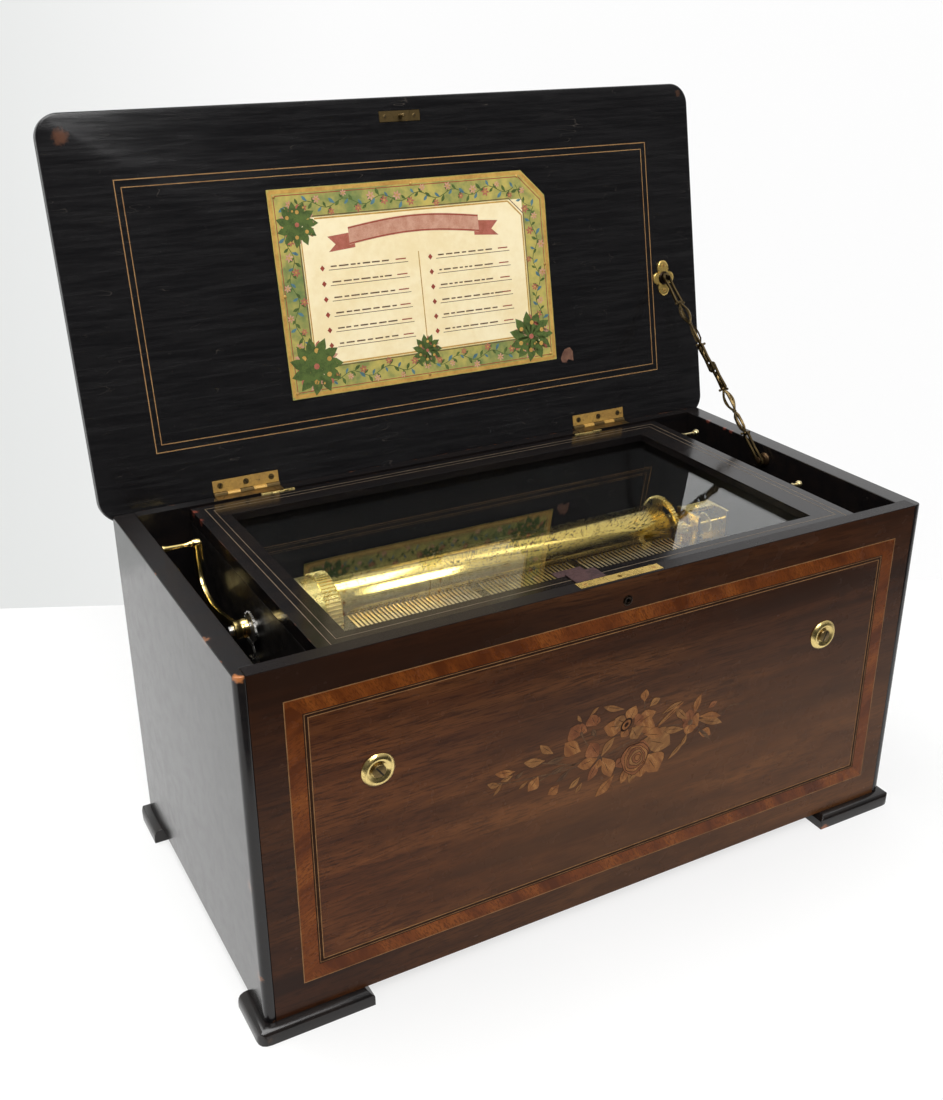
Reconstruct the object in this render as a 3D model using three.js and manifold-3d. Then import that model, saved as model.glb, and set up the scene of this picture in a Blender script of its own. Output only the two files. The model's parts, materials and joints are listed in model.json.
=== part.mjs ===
// Lever-wound cylinder music box with an inner glass lid.
// Units are millimetres, +Z is up, X runs along the case and the front faces -Y.
import * as THREE from "three";
import { mergeVertices } from "three/addons/utils/BufferGeometryUtils.js";
import Module from "manifold-3d";

const wasm = await Module();
wasm.setup();

// Clearances
const GAP = 0.3; // between pieces that seat on each other
const RUN = 0.3; // round a shaft or pin that turns
const OVERRUN = 2; // how far a cutter runs past the face it cuts

// Case
const CASE_WIDTH = 600;
const CASE_DEPTH = 304;
const CASE_HEIGHT = 287;
const SIDE_THICKNESS = 18;
const FRONT_THICKNESS = 12;
const BACK_THICKNESS = 10;
const BOTTOM_THICKNESS = 12;
const CORNER_STRIP = 8; // width of the side board's edge seen from the front
const CORNER_RADIUS = 6;
const WELL_WIDTH = 44;
const PARTITION_THICKNESS = 8;

// Feet
const FOOT_HEIGHT = 13;
const FOOT_OVERHANG = 8;
const FOOT_INSET = 22;
const FOOT_CORNER_RADIUS = 9;
const FOOT_SIDE_ARM = 40;
const FOOT_END_SLOPE = 5;
const FOOT_ARMS = { left: 83, right: 76 };

// Lid
const LID_THICKNESS = 15;
const LID_SIDE_OVERHANG = 8.6;
const LID_FRONT_OVERHANG = 9.2; // past the front of the case
const LID_BACK_OVERHANG = 8;
const LID_CORNER_RADIUS = 19;
const LID_LOWER_BAND = 6;
const LID_LOWER_ROUND = 1.5;
const LID_UPPER_ROUND = 6;
const LID_SEAT_GAP = 0.4;
const LID_LEAN = 10.8; // degrees past upright at which the overhang meets the back
const LID_OPEN_ANGLE = 90 + LID_LEAN;

// Lid hinges
const HINGE_LENGTH = 59;
const HINGE_FROM_END = { left: 116.7, right: 119 }; // from the case's end to the hinge's middle
const HINGE_LEAF_THICKNESS = 1.2;
const HINGE_RIM_LEAF = 11;
const HINGE_LID_LEAF = 12.5;
const KNUCKLE_RADIUS = 2.2;
const KNUCKLE_COUNT = 5;
const KNUCKLE_GAP = 0.4;
const HINGE_PIN_RADIUS = 1;

// Lock
const LOCK_PLATE = { length: 73, width: 9, thickness: 1.5, front: 2.4 };
const LOCK_CENTRE_X = -1.5;
const LOCK_CASE = { length: 60, depth: 25, thickness: 7.6, wall: 0.8 };
const LOCK_PEG_RADIUS = 1.6;
const LOCK_PEG_LENGTH = 9;
const LOCK_PEG_WAIST = { radius: 0.9, from: 5, to: 7.6 };
const LOCK_PEG_CLEARANCE = 0.4;
const BOLT_TRAVEL = 6;
const BOLT_THICKNESS = 1.6;
const BOLT_LENGTH = 36;
const KEYHOLE = { x: 2, drop: 18.2, radius: 1.7, ring: 4, proud: 0.6, depth: 2.6 };
const STRIKE_PLATE = { length: 39, width: 9, thickness: 1.4 };

// Inner glass lid
const GLASS_FRAME_THICKNESS = 12;
const GLASS_FRAME_DROP = 1.6; // its top lies this far below the rim
const GLASS_FRAME_FRONT_GAP = 0.5;
const GLASS_FRAME_BACK_GAP = 1.5;
const GLASS_RAIL = { left: 26, right: 35, front: 16, back: 28 };
const GLASS_RECESS = 7; // from the top of the frame to the pane
const GLASS_THICKNESS = 2.5;
const GLASS_REBATE = 6;
const GLASS_EDGE_CHAMFER = 1.2;
const GLASS_HINGE = { length: 30, fromPartition: 78, radius: 1.3, pin: 0.5, gap: 0.3, leaf: 0.6, height: 7 };
const GLASS_HINGE_AXIS_SHARE = 0.6; // of the back gap, from the wall
const TAB_WIDTH = 26;
const TAB_CENTRE_X = -22;
const TAB_THICKNESS = 0.9;
const TAB_LENGTH_ON_GLASS = 20;

// Bedplate and what holds it
const BEDPLATE_THICKNESS = 10;
const BEDPLATE_DROP = 104; // from the rim to its underside
const BEDPLATE_SIDE_GAP = 4;
const BEDPLATE_FRONT = 36;
const BEDPLATE_BACK_MARGIN = 48; // to the back board
const MOUNT_SCREW_FROM_PARTITION = 26;
const MOUNT_LUG_WIDTH = 34;
const MOUNT_SCREW_RADIUS = 2.8;
const MOUNT_SCREW_GRIP = 20; // length of the screw inside the bedplate
const CUP = { radius: 13, rim: 0.8, crest: 2.9, crestShare: 0.72, dish: 1.3, dishShare: 0.46 };
const CUP_FACETS = 12;
const CUP_SCREW_HEAD = { radius: 5.2, height: 2.1, slot: 1.1, slotDepth: 1.1, sink: 0.2 };

// Cylinder and its shaft
const AXIS_Y = 138.5;
const AXIS_DROP = 40.7; // from the rim
const CYLINDER_RADIUS = 21.7;
const CYLINDER_MARGINS = { left: 53, right: 98.5 }; // from the partitions
const CYLINDER_WALL = 2.2;
const CYLINDER_END_WALL = 3;
const CYLINDER_FACETS = 24;
const SHAFT_RADIUS = 4;
const PIN_HEIGHT = 0.9;
const PIN_RADIUS = 0.45;
const PIN_SINK = 0.6;
const PINS_PER_TOOTH = 1;
const PINS_PER_KEY = 1;
const GOLDEN_SHARE = 0.6180339887;

// Spring barrel
const BARREL_RADIUS = 26.8;
const BARREL_LENGTH = 26;
const BARREL_GAP = 2; // between the barrel and the cylinder
const BARREL_WALL = 2.5;
const BARREL_FACETS = 24;
const BARREL_CAP = 2.5;
const BARREL_GEAR = { teeth: 56, tip: 28, root: 27, width: 12 };
const SPRING_TURNS = 4;
const SPRING_THICKNESS = 0.8;
const SPRING_STEPS_PER_TURN = 10;
const SPRING_END_GAP = 1;
const BRIDGE_GAP = 6; // between the barrel and its bridge
const BRIDGE_THICKNESS = 6;
const END_BRIDGE_THICKNESS = 4.5;
const BRIDGE_HEAD_RADIUS = 10;
const BRIDGE_FOOT = { thickness: 4, length: 18, toLeft: 6 };

// Gear train and air brake
const GREAT_WHEEL = { teeth: 60, module: 0.92, width: 4, gap: 2.5, spokes: 5, hub: 9, rim: 4 };
const PINION_TEETH = 10;
const PINION_WIDTH = 5.4;
const PINION_RISE = 20; // degrees above level at which the pinion meets the great wheel
const GEAR_TIP_SHARE = 0.85; // of a module
const GEAR_ROOT_SHARE = 1.25;
const PINION_TIP_SHARE = 0.7;
const TOOTH_ROOT_SHARE = 0.5; // of a pitch
const PINION_ROOT_SHARE = 0.6;
const TOOTH_TIP_SHARE = 0.2;
const PINION_TURN_SHARE = 0.0646; // of a turn, so that its teeth meet the wheel's gaps
const WORM_WHEEL_TURN_SHARE = 0.0302;
const SPOKE_HALF_ANGLE = 0.2;
const WORM = { starts: 2, module: 0.6, path: 2.4, wire: 0.5, root: 2, length: 13, thread: 8,
  steps: 8 };
const WORM_WHEEL = { teeth: 30, tip: 9.25, root: 8, width: 1 };
const GOVERNOR_PLATE = 2.5;
const GOVERNOR_INNER = 28; // between its two plates
const GOVERNOR_DEPTH = { front: 11.3, back: 18.7 }; // from the first shaft
const GOVERNOR_GAP = 5; // between the great wheel and the first plate
const GOVERNOR_ARM = 3;
const GOVERNOR_ARM_WIDTH = 11;
const ARM_GAP = 2.5;
const ENDSTONE = { radius: 3.2, height: 1 };
const PIVOT_RADIUS = 1.2;
const FAN = { radius: 9, height: 6, thickness: 0.8, gap: 1.2 };

// Combs and organ keys
const TOOTH_PITCH = 4.2;
const TOOTH_WIDTH = 2.5;
const TOOTH_TIP_GAP = 0.35; // between a tooth and the pins' path
const TOOTH_THICKNESS = 2.2;
const TOOTH_LONG = 34;
const TOOTH_SHORT = 17;
const COMB_BODY = 30;
const COMB_END_MARGIN = 1.5;
const BASS_MARGIN = 2.5; // from the cylinder's end to the first tooth
const TREBLE_MARGIN = 3.5;
const KEYS_FROM_MIDDLE = 38; // from the cylinder's middle to the first organ key
const ORGAN_KEYS = 21;
const GROUP_GAPS = { bass: 8.7, treble: 7.5 }; // between the keys and the teeth beside them
const KEY_WIDTH = 1.7;
const KEY_LENGTH = 50;
const KEY_RAIL = 8; // the strip that all the keys are held by
const COMB_BASE = { depth: 34, foot: 6, overhang: 6 };

// Organ parts under the bedplate
const REED_CHEST = { depth: 60, height: 33 };
const WIND_TRUNK = { width: 34, depth: 30 };
const BELLOWS = { width: 260, backMargin: 46, height: 50, board: 8, fold: 9, folds: 3 };

// Winding lever in the left well
const RATCHET = { teeth: 18, tip: 12, root: 10.4, width: 2, fromPartition: 3.5 };
const LEVER_HUB = { radius: 7.5, length: 12, fromRatchet: 1.5 };
const LEVER_THICKNESS = 3;
const LEVER_WIDTH = { hub: 7, collar: 4.4 };
const LEVER_REACH = { back: 99.5, up: 31.7 }; // from the hub to the collar
const LEVER_PATH_SHARES = [
  [0, 0], [0.15, -0.14], [0.313, -0.24], [0.525, -0.338], [0.713, -0.352], [0.881, -0.183],
  [0.96, 0.085], [0.995, 0.437], [1, 0.775], [1, 1],
]; // of the reach back and up
const LEVER_STEPS = 14;
const COLLAR = { radius: 3.3, length: 7, beyond: 2 };
const GRIP = { base: 2.6, neck: 1.7, middle: 1.9, flare: 3.1, length: 24,
  neckShare: 0.15, middleShare: 0.6, flareShare: 0.94, endShare: 0.7 };
const SPIKE = { height: 17.5, radius: 0.9 };
const PAWL = { web: 1.6, width: 6, thickness: 3 };
const ARBOR_END = 3;
const CLICK = { thickness: 2, pivot: 2, arm: 9, out: 9 };

// Control levers in the right well
const CONTROLS = {
  stop: { y: 92.6, reach: 10.5, ball: 3.2 },
  change: { fromBack: 45, reach: 19, ball: 3.7 },
};
const CONTROL_BALL_DROP = 0.8; // from the rim to the knob's top
const CONTROL_PIVOT_DROP = 72;
const CONTROL_WIDTH = 7;
const CONTROL_THICKNESS = 2;
const CONTROL_GAP = 3; // from the partition to the arm
const CONTROL_AXLE = 2;
const CONTROL_AXLE_LENGTH = 6;
const CONTROL_STEM = 1.3;

// Lid chain
const CHAIN_FROM_SIDE = 13.6; // from the side board's inner face to the chain's stud
const CHAIN_LID_REACH = 133; // from the hinge line, along the lid
const CHAIN_LID_PLATE = { width: 24, height: 34, thickness: 1.5 };
const CHAIN_STUD = { boss: { radius: 5.4, depth: 1 }, neck: { radius: 1.5, length: 6.8 },
  head: { radius: 2.6, depth: 1.6 } };
const CHAIN_HANG_SHARE = 0.62; // of the neck, from the boss to where the chain hangs
const LOBE_STEPS = 20;
const LOBE_SHARE = 0.2;
const CHAIN_WALL_Y = 175;
const CHAIN_WALL_DROP = 13; // from the rim
const CHAIN_ROSETTE = { radius: 6.5, thickness: 2.5, neck: 1.4, head: 3, length: 8.7, cap: 1.4,
  reach: 4 };
const WIRE_RADIUS = 1;
const CAGE_RADIUS = 3.3;
const CAGE_WIRES = 3;
const CAGE_TURN_SHARE = 0.25;
const CAGE_STEPS = 4;
const CAGE_PATH_SHARES = [[0, 0], [0.2, 0.8], [0.5, 1], [0.8, 0.8], [1, 0]]; // along, outward
const CHAIN_SHARES = [0.29, 0.231, 0.231, 0.248]; // of half the chain's length
const CHAIN_KNOB = 2;
const LINK_HALF_WIDTH = 3;
const LINK_PATH_SHARES = [[0, 0.5], [0.08, 1], [0.5, 0.8], [0.92, 1], [1, 0.5]]; // along, out
const LINK_EYE = 4; // how far a link reaches past the point it hangs on
const CROSS_PIN = { radius: 0.8, half: 4.6, knob: 1.4 };

// Tune sheet on the lid
const SHEET = { left: -132, right: 138, bottom: 70, top: 244, thickness: 0.6, corner: 24 };

const halfWidth = CASE_WIDTH / 2;
const innerHalf = halfWidth - SIDE_THICKNESS;
const wellHalf = innerHalf - WELL_WIDTH;
const worksHalf = wellHalf - PARTITION_THICKNESS;
const backInside = CASE_DEPTH - BACK_THICKNESS;
const lean = THREE.MathUtils.degToRad(LID_LEAN);
const hingeY = CASE_DEPTH + LID_BACK_OVERHANG * Math.sin(lean) + GAP;
const hingeZ = CASE_HEIGHT + LID_SEAT_GAP;
const glassTop = CASE_HEIGHT - GLASS_FRAME_DROP;
const keyholeZ = CASE_HEIGHT - KEYHOLE.drop;
const axisZ = CASE_HEIGHT - AXIS_DROP;
const chainWallZ = CASE_HEIGHT - CHAIN_WALL_DROP;
const controlPivotZ = CASE_HEIGHT - CONTROL_PIVOT_DROP;
const controlBallTop = CASE_HEIGHT - CONTROL_BALL_DROP;
const bedBase = CASE_HEIGHT - BEDPLATE_DROP;
const bedTop = bedBase + BEDPLATE_THICKNESS;
const bedMiddle = bedBase + BEDPLATE_THICKNESS / 2;
const lidFrontReach = hingeY + LID_FRONT_OVERHANG;
const bedBack = backInside - BEDPLATE_BACK_MARGIN;
const mountScrewX = worksHalf - MOUNT_SCREW_FROM_PARTITION;
const chainLidX = innerHalf - CHAIN_FROM_SIDE;
const cylinderStart = -worksHalf + CYLINDER_MARGINS.left;
const cylinderEnd = worksHalf - CYLINDER_MARGINS.right;
const pinCircle = CYLINDER_RADIUS + PIN_HEIGHT;
const toothTipY = AXIS_Y - pinCircle - TOOTH_TIP_GAP;
const toothUnder = axisZ - TOOTH_THICKNESS / 2;

// The finished finishes of the real box
const finish = (color, roughness, metalness) =>
  new THREE.MeshStandardMaterial({ color, roughness, metalness });
const BLACK = finish(0x14110f, 0.35, 0);
const ROSEWOOD = finish(0x4a2418, 0.35, 0);
const RAW_WOOD = finish(0x8a6a44, 0.7, 0);
const BRASS = finish(0xc8a24a, 0.25, 1);
const AGED_BRASS = finish(0x8a7038, 0.45, 1);
const DARK_BRONZE = finish(0x4a3a20, 0.5, 1);
const STEEL = finish(0x8c8a84, 0.35, 1);
const IRON = finish(0x2a2c28, 0.6, 0.6);
const PAPER = finish(0xe6dcb8, 0.8, 0);
const LEATHER = finish(0x4e3a40, 0.8, 0);
const GLASS = finish(0xdde6e6, 0.05, 0);

// Solids
function solidOf(geometry) {
  const bare = geometry.clone();
  for (const name of ["normal", "uv"]) bare.deleteAttribute(name);
  const shared = mergeVertices(bare);
  const corners = Array.from(shared.index.array);
  const whole = [];
  for (let i = 0; i < corners.length; i += 3) {
    const [a, b, c] = corners.slice(i, i + 3);
    if (a !== b && b !== c && c !== a) whole.push(a, b, c);
  }
  return new wasm.Manifold(
    new wasm.Mesh({
      numProp: 3,
      vertProperties: Float32Array.from(shared.attributes.position.array),
      triVerts: Uint32Array.from(whole),
    }),
  );
}

function geometryOf(solid) {
  const mesh = solid.getMesh();
  const geometry = new THREE.BufferGeometry();
  geometry.setAttribute("position", new THREE.BufferAttribute(mesh.vertProperties, 3));
  geometry.setIndex(new THREE.BufferAttribute(mesh.triVerts, 1));
  return geometry;
}

const join = (...pieces) => geometryOf(pieces.map(solidOf).reduce((a, b) => a.add(b)));
const common = (...pieces) => geometryOf(pieces.map(solidOf).reduce((a, b) => a.intersect(b)));
function cut(body, ...cutters) {
  return geometryOf(cutters.map(solidOf).reduce((a, b) => a.subtract(b), solidOf(body)));
}

function block(x0, x1, y0, y1, z0, z1) {
  const geometry = new THREE.BoxGeometry(x1 - x0, y1 - y0, z1 - z0);
  return geometry.translate((x0 + x1) / 2, (y0 + y1) / 2, (z0 + z1) / 2);
}

// The outline runs anticlockwise whichever way its points were listed.
function outlineOf(points) {
  const corners = points.map(([a, b]) => new THREE.Vector2(a, b));
  return new THREE.Shape(THREE.ShapeUtils.isClockWise(corners) ? corners.reverse() : corners);
}

// A shape drawn in X and Y, from z0 up to z1.
function slabZ(shape, z0, z1, curveSegments = 8) {
  const settings = { depth: z1 - z0, bevelEnabled: false, curveSegments };
  return new THREE.ExtrudeGeometry(shape, settings).translate(0, 0, z0);
}

const TO_X = new THREE.Matrix4().makeBasis(
  new THREE.Vector3(0, 1, 0), new THREE.Vector3(0, 0, 1), new THREE.Vector3(1, 0, 0));
const TO_Y = new THREE.Matrix4().makeBasis(
  new THREE.Vector3(1, 0, 0), new THREE.Vector3(0, 0, 1), new THREE.Vector3(0, -1, 0));

// A shape drawn in Y and Z, from x0 to x1.
const slabX = (shape, x0, x1, segments) => slabZ(shape, x0, x1, segments).applyMatrix4(TO_X);

// A shape drawn in X and Z, from y0 to y1.
const slabY = (shape, y0, y1, segments) => slabZ(shape, -y1, -y0, segments).applyMatrix4(TO_Y);

// A closed profile of [radius, place] pairs turned about the axis that is named.
function turned(profile, axis, facets = 24) {
  const closed = [...profile, profile[0]].map(([r, h]) => new THREE.Vector2(r, h));
  const ends = profile[0][0] === 0 && profile.at(-1)[0] === 0;
  const points = ends ? closed.slice(0, -1) : closed;
  const outward = areaOf(points) > 0 ? points : [...points].reverse();
  const geometry = new THREE.LatheGeometry(outward, facets);
  if (axis === "x") geometry.rotateZ(-Math.PI / 2);
  if (axis === "z") geometry.rotateX(Math.PI / 2);
  return geometry;
}

// Positive where the profile runs anticlockwise, which turns the faces outward.
function areaOf(points) {
  return points.reduce((sum, { x, y }, i) => {
    const next = points[(i + 1) % points.length];
    return sum + x * next.y - next.x * y;
  }, 0);
}

// A rod along X, Y or Z between two places on its axis.
function rod(axis, radius, from, to, [a, b] = [0, 0], facets = 12) {
  const geometry = new THREE.CylinderGeometry(radius, radius, to - from, facets);
  const middle = (from + to) / 2;
  if (axis === "x") return geometry.rotateZ(-Math.PI / 2).translate(middle, a, b);
  if (axis === "y") return geometry.translate(a, middle, b);
  return geometry.rotateX(Math.PI / 2).translate(a, b, middle);
}

function tube(points, radius, sides = 5, steps = 6) {
  const section = new THREE.Shape();
  for (let i = 0; i < sides; i++) {
    const angle = (i / sides) * Math.PI * 2;
    const place = [radius * Math.cos(angle), radius * Math.sin(angle)];
    if (i) section.lineTo(...place);
    else section.moveTo(...place);
  }
  const path = new THREE.CatmullRomCurve3(points);
  return new THREE.ExtrudeGeometry(section, { steps, bevelEnabled: false, extrudePath: path });
}

function ring(outer, inner) {
  const shape = new THREE.Shape().absarc(0, 0, outer, 0, Math.PI * 2);
  shape.holes.push(new THREE.Path().absarc(0, 0, inner, 0, Math.PI * 2, true));
  return shape;
}

function roundedRectangle(x0, x1, y0, y1, radius) {
  const shape = new THREE.Shape();
  shape.moveTo(x0 + radius, y0);
  shape.absarc(x1 - radius, y0 + radius, radius, -Math.PI / 2, 0);
  shape.absarc(x1 - radius, y1 - radius, radius, 0, Math.PI / 2);
  shape.absarc(x0 + radius, y1 - radius, radius, Math.PI / 2, Math.PI);
  shape.absarc(x0 + radius, y0 + radius, radius, Math.PI, Math.PI * 1.5);
  return shape;
}

// A toothed outline whose teeth stand between the root and tip circles. The two
// shares say how much of a pitch a tooth fills at its root and at its tip.
function toothedShape(teeth, tip, root, rootShare, tipShare, turn = 0) {
  const points = [];
  const pitch = (Math.PI * 2) / teeth;
  for (let i = 0; i < teeth; i++) {
    const middle = i * pitch + turn;
    const crest = tipShare ? [[tip, -tipShare], [tip, tipShare]] : [[tip, 0]];
    const corners = [[root, -rootShare], ...crest, [root, rootShare]];
    for (const [radius, share] of corners) {
      const angle = middle + (share * pitch) / 2;
      points.push([radius * Math.cos(angle), radius * Math.sin(angle)]);
    }
  }
  return outlineOf(points);
}

function sawShape({ teeth, tip, root }) {
  const points = [];
  for (let i = 0; i < teeth; i++) {
    const angle = (i / teeth) * Math.PI * 2;
    points.push([tip * Math.cos(angle), tip * Math.sin(angle)]);
    points.push([root * Math.cos(angle), root * Math.sin(angle)]);
  }
  return outlineOf(points);
}

// A cheese-head or countersunk screw head with its slot, standing up along +Z from z = 0.
function slottedHead(radius, height, slot, slotDepth, facets = 16) {
  const head = rod("z", radius, 0, height, [0, 0], facets);
  const groove = block(-radius - OVERRUN, radius + OVERRUN, -slot / 2, slot / 2,
    height - slotDepth, height + OVERRUN);
  return cut(head, groove);
}

const product = new THREE.Group();
const openReach = (lidFrontReach - LID_UPPER_ROUND) * Math.sin(lean)
  + (LID_THICKNESS - LID_UPPER_ROUND) * Math.cos(lean) + LID_UPPER_ROUND;
const frontReach = -FOOT_OVERHANG;
const originY = (frontReach + hingeY + openReach) / 2;
const caseGroup = new THREE.Group();
caseGroup.name = "case";
caseGroup.position.set(0, -originY, FOOT_HEIGHT);
product.add(caseGroup);

function add(name, geometry, material, parent = caseGroup, place = [0, 0, 0]) {
  const mesh = new THREE.Mesh(geometry, material);
  mesh.name = name;
  mesh.position.set(...place);
  parent.add(mesh);
  return mesh;
}

function group(name, parent, place, turnX = 0) {
  const made = new THREE.Group();
  made.name = name;
  made.position.set(...place);
  made.rotation.x = turnX;
  parent.add(made);
  return made;
}

// Case boards
const SIDES = { left: -1, right: 1 };
const hingeX = Object.fromEntries(Object.entries(SIDES).map(([name, side]) =>
  [name, side * (halfWidth - HINGE_FROM_END[name])]));
const hingeCentres = Object.values(hingeX);
const screwSides = Object.values(SIDES);
const mountHole = MOUNT_SCREW_RADIUS + RUN;
const mountPlaces = screwSides.map((side) => [side * mountScrewX, bedMiddle]);
const lockMiddleY = LOCK_PLATE.front + LOCK_PLATE.width / 2;
const lockCaseFront = lockMiddleY - LOCK_CASE.thickness / 2;
const lockCaseBack = lockMiddleY + LOCK_CASE.thickness / 2;
const lockCaseLeft = LOCK_CENTRE_X - LOCK_CASE.length / 2;
const lockCaseRight = LOCK_CENTRE_X + LOCK_CASE.length / 2;
const lockCaseBottom = CASE_HEIGHT - LOCK_CASE.depth;
const lockPlateBottom = CASE_HEIGHT - LOCK_PLATE.thickness;
const lockPlateLeft = LOCK_CENTRE_X - LOCK_PLATE.length / 2;
const lockPlateRight = LOCK_CENTRE_X + LOCK_PLATE.length / 2;
const aboveRim = CASE_HEIGHT + OVERRUN;

function frontBoard() {
  const half = halfWidth - CORNER_STRIP;
  const board = block(-half, half, 0, FRONT_THICKNESS, 0, CASE_HEIGHT);
  const plateSeat = block(lockPlateLeft - GAP, lockPlateRight + GAP, LOCK_PLATE.front - GAP,
    LOCK_PLATE.front + LOCK_PLATE.width + GAP, lockPlateBottom, aboveRim);
  const caseSeat = block(lockCaseLeft - GAP, lockCaseRight + GAP, lockCaseFront - GAP,
    lockCaseBack + GAP, lockCaseBottom - GAP, aboveRim);
  const keyBore = rod("y", KEYHOLE.ring + GAP, -OVERRUN, KEYHOLE.depth + GAP,
    [KEYHOLE.x, keyholeZ]);
  const keyWay = rod("y", KEYHOLE.radius, 0, lockCaseFront + GAP, [KEYHOLE.x, keyholeZ], 10);
  const holes = mountPlaces.map((place) =>
    rod("y", mountHole, -OVERRUN, FRONT_THICKNESS + OVERRUN, place));
  return cut(board, plateSeat, caseSeat, keyBore, keyWay, ...holes);
}

function sideOutline(side) {
  const outer = side * halfWidth;
  const strip = side * (halfWidth - CORNER_STRIP);
  const inner = side * innerHalf;
  const shape = new THREE.Shape();
  shape.moveTo(outer, CASE_DEPTH);
  shape.lineTo(outer, CORNER_RADIUS);
  shape.quadraticCurveTo(outer, 0, outer - side * CORNER_RADIUS, 0);
  for (const point of [[strip, 0], [strip, FRONT_THICKNESS], [inner, FRONT_THICKNESS],
    [inner, CASE_DEPTH]]) shape.lineTo(...point);
  return shape;
}

const glassHingeY = backInside - GLASS_FRAME_BACK_GAP * GLASS_HINGE_AXIS_SHARE;
const glassHingeX = wellHalf - GLASS_HINGE.fromPartition;
const glassHingeCentres = screwSides.map((side) => side * glassHingeX);
const glassKnuckleRoom = GLASS_HINGE.radius + GAP;

function backBoard() {
  const board = block(-innerHalf, innerHalf, backInside, CASE_DEPTH, 0, CASE_HEIGHT);
  const cutters = [];
  const leafHalf = HINGE_LENGTH / 2 + GAP;
  for (const x of hingeCentres) {
    cutters.push(block(x - leafHalf, x + leafHalf, hingeY - HINGE_RIM_LEAF - GAP,
      CASE_DEPTH + OVERRUN, CASE_HEIGHT - HINGE_LEAF_THICKNESS, aboveRim));
    cutters.push(block(x - leafHalf, x + leafHalf, hingeY - KNUCKLE_RADIUS - GAP,
      CASE_DEPTH + OVERRUN, hingeZ - KNUCKLE_RADIUS - GAP, aboveRim));
  }
  const smallHalf = GLASS_HINGE.length / 2 + GAP;
  for (const x of glassHingeCentres) {
    cutters.push(block(x - smallHalf, x + smallHalf, backInside - OVERRUN,
      glassHingeY + glassKnuckleRoom, glassTop - glassKnuckleRoom, aboveRim));
    cutters.push(block(x - smallHalf, x + smallHalf, backInside - OVERRUN,
      backInside + GLASS_HINGE.leaf, glassTop - GLASS_HINGE.height - GAP, glassTop));
  }
  const holes = mountPlaces.map((place) =>
    rod("y", mountHole, backInside - OVERRUN, CASE_DEPTH + OVERRUN, place));
  return cut(board, ...cutters, ...holes);
}

const glassBottom = glassTop - GLASS_FRAME_THICKNESS;
const partitionTop = glassBottom - GAP;

const controlY = ({ y, fromBack }) => y ?? backInside - fromBack;

function partition(side) {
  const board = block(Math.min(side * worksHalf, side * wellHalf),
    Math.max(side * worksHalf, side * wellHalf),
    FRONT_THICKNESS, backInside, BOTTOM_THICKNESS, partitionTop);
  if (side < 0) return cut(board, rod("x", SHAFT_RADIUS + RUN, -wellHalf - OVERRUN,
    -worksHalf + OVERRUN, [AXIS_Y, axisZ]));
  return cut(board, ...Object.values(CONTROLS).map((control) => rod("x", CONTROL_AXLE + RUN,
    wellHalf - CONTROL_AXLE_LENGTH - GAP, wellHalf + OVERRUN, [controlY(control), controlPivotZ], 10)));
}

add("front_board", frontBoard(), ROSEWOOD);
add("left_side_board", slabZ(sideOutline(-1), 0, CASE_HEIGHT), BLACK);
add("right_side_board", slabZ(sideOutline(1), 0, CASE_HEIGHT), BLACK);
add("back_board", backBoard(), BLACK);
add("bottom_board", block(-innerHalf, innerHalf, FRONT_THICKNESS, backInside, 0, BOTTOM_THICKNESS),
  RAW_WOOD);
add("left_partition", partition(-1), BLACK);
add("right_partition", partition(1), BLACK);

// Feet: an L of quarter-round moulding under each corner
function mouldingProfile(outer, inner, direction) {
  const radius = FOOT_OVERHANG;
  const shape = new THREE.Shape();
  const at = (n, z) => [outer + direction * n, z];
  shape.moveTo(...at(0, 0));
  shape.lineTo(...at(0, FOOT_HEIGHT - radius));
  const corner = at(0, FOOT_HEIGHT);
  shape.quadraticCurveTo(...corner, ...at(radius, FOOT_HEIGHT));
  shape.lineTo(inner, FOOT_HEIGHT);
  shape.lineTo(inner, 0);
  return shape;
}

function foot(side, end, arm) {
  const outerX = side * (halfWidth + FOOT_OVERHANG);
  const outerY = end > 0 ? CASE_DEPTH + FOOT_OVERHANG : -FOOT_OVERHANG;
  const armX = side * (halfWidth - arm);
  const armY = end > 0 ? CASE_DEPTH - FOOT_SIDE_ARM : FOOT_SIDE_ARM;
  const insideX = side * (halfWidth - FOOT_INSET);
  const insideY = end > 0 ? CASE_DEPTH - FOOT_INSET : FOOT_INSET;
  const radius = FOOT_CORNER_RADIUS;
  const plan = new THREE.Shape();
  plan.moveTo(armX, outerY);
  plan.lineTo(outerX - side * radius, outerY);
  plan.quadraticCurveTo(outerX, outerY, outerX, outerY + (end > 0 ? -radius : radius));
  for (const point of [[outerX, armY], [insideX, armY], [insideX, insideY], [armX, insideY]])
    plan.lineTo(...point);
  const far = [armX - side * OVERRUN, armY - end * OVERRUN];
  const frontRound = slabX(mouldingProfile(outerY, far[1], -end),
    Math.min(far[0], outerX), Math.max(far[0], outerX), 4);
  const sideRound = slabY(mouldingProfile(outerX, far[0], -side),
    Math.min(far[1], outerY), Math.max(far[1], outerY), 4);
  const slope = slabY(outlineOf([
    [armX - side * OVERRUN, FOOT_HEIGHT + OVERRUN],
    [armX + side * FOOT_END_SLOPE, FOOT_HEIGHT + OVERRUN],
    [armX + side * FOOT_END_SLOPE, FOOT_HEIGHT],
    [armX, FOOT_HEIGHT - FOOT_END_SLOPE],
    [armX - side * OVERRUN, FOOT_HEIGHT - FOOT_END_SLOPE],
  ]), Math.min(outerY, insideY) - OVERRUN, Math.max(outerY, insideY) + OVERRUN);
  return cut(common(slabZ(plan, 0, FOOT_HEIGHT, 4), frontRound, sideRound), slope);
}

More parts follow.
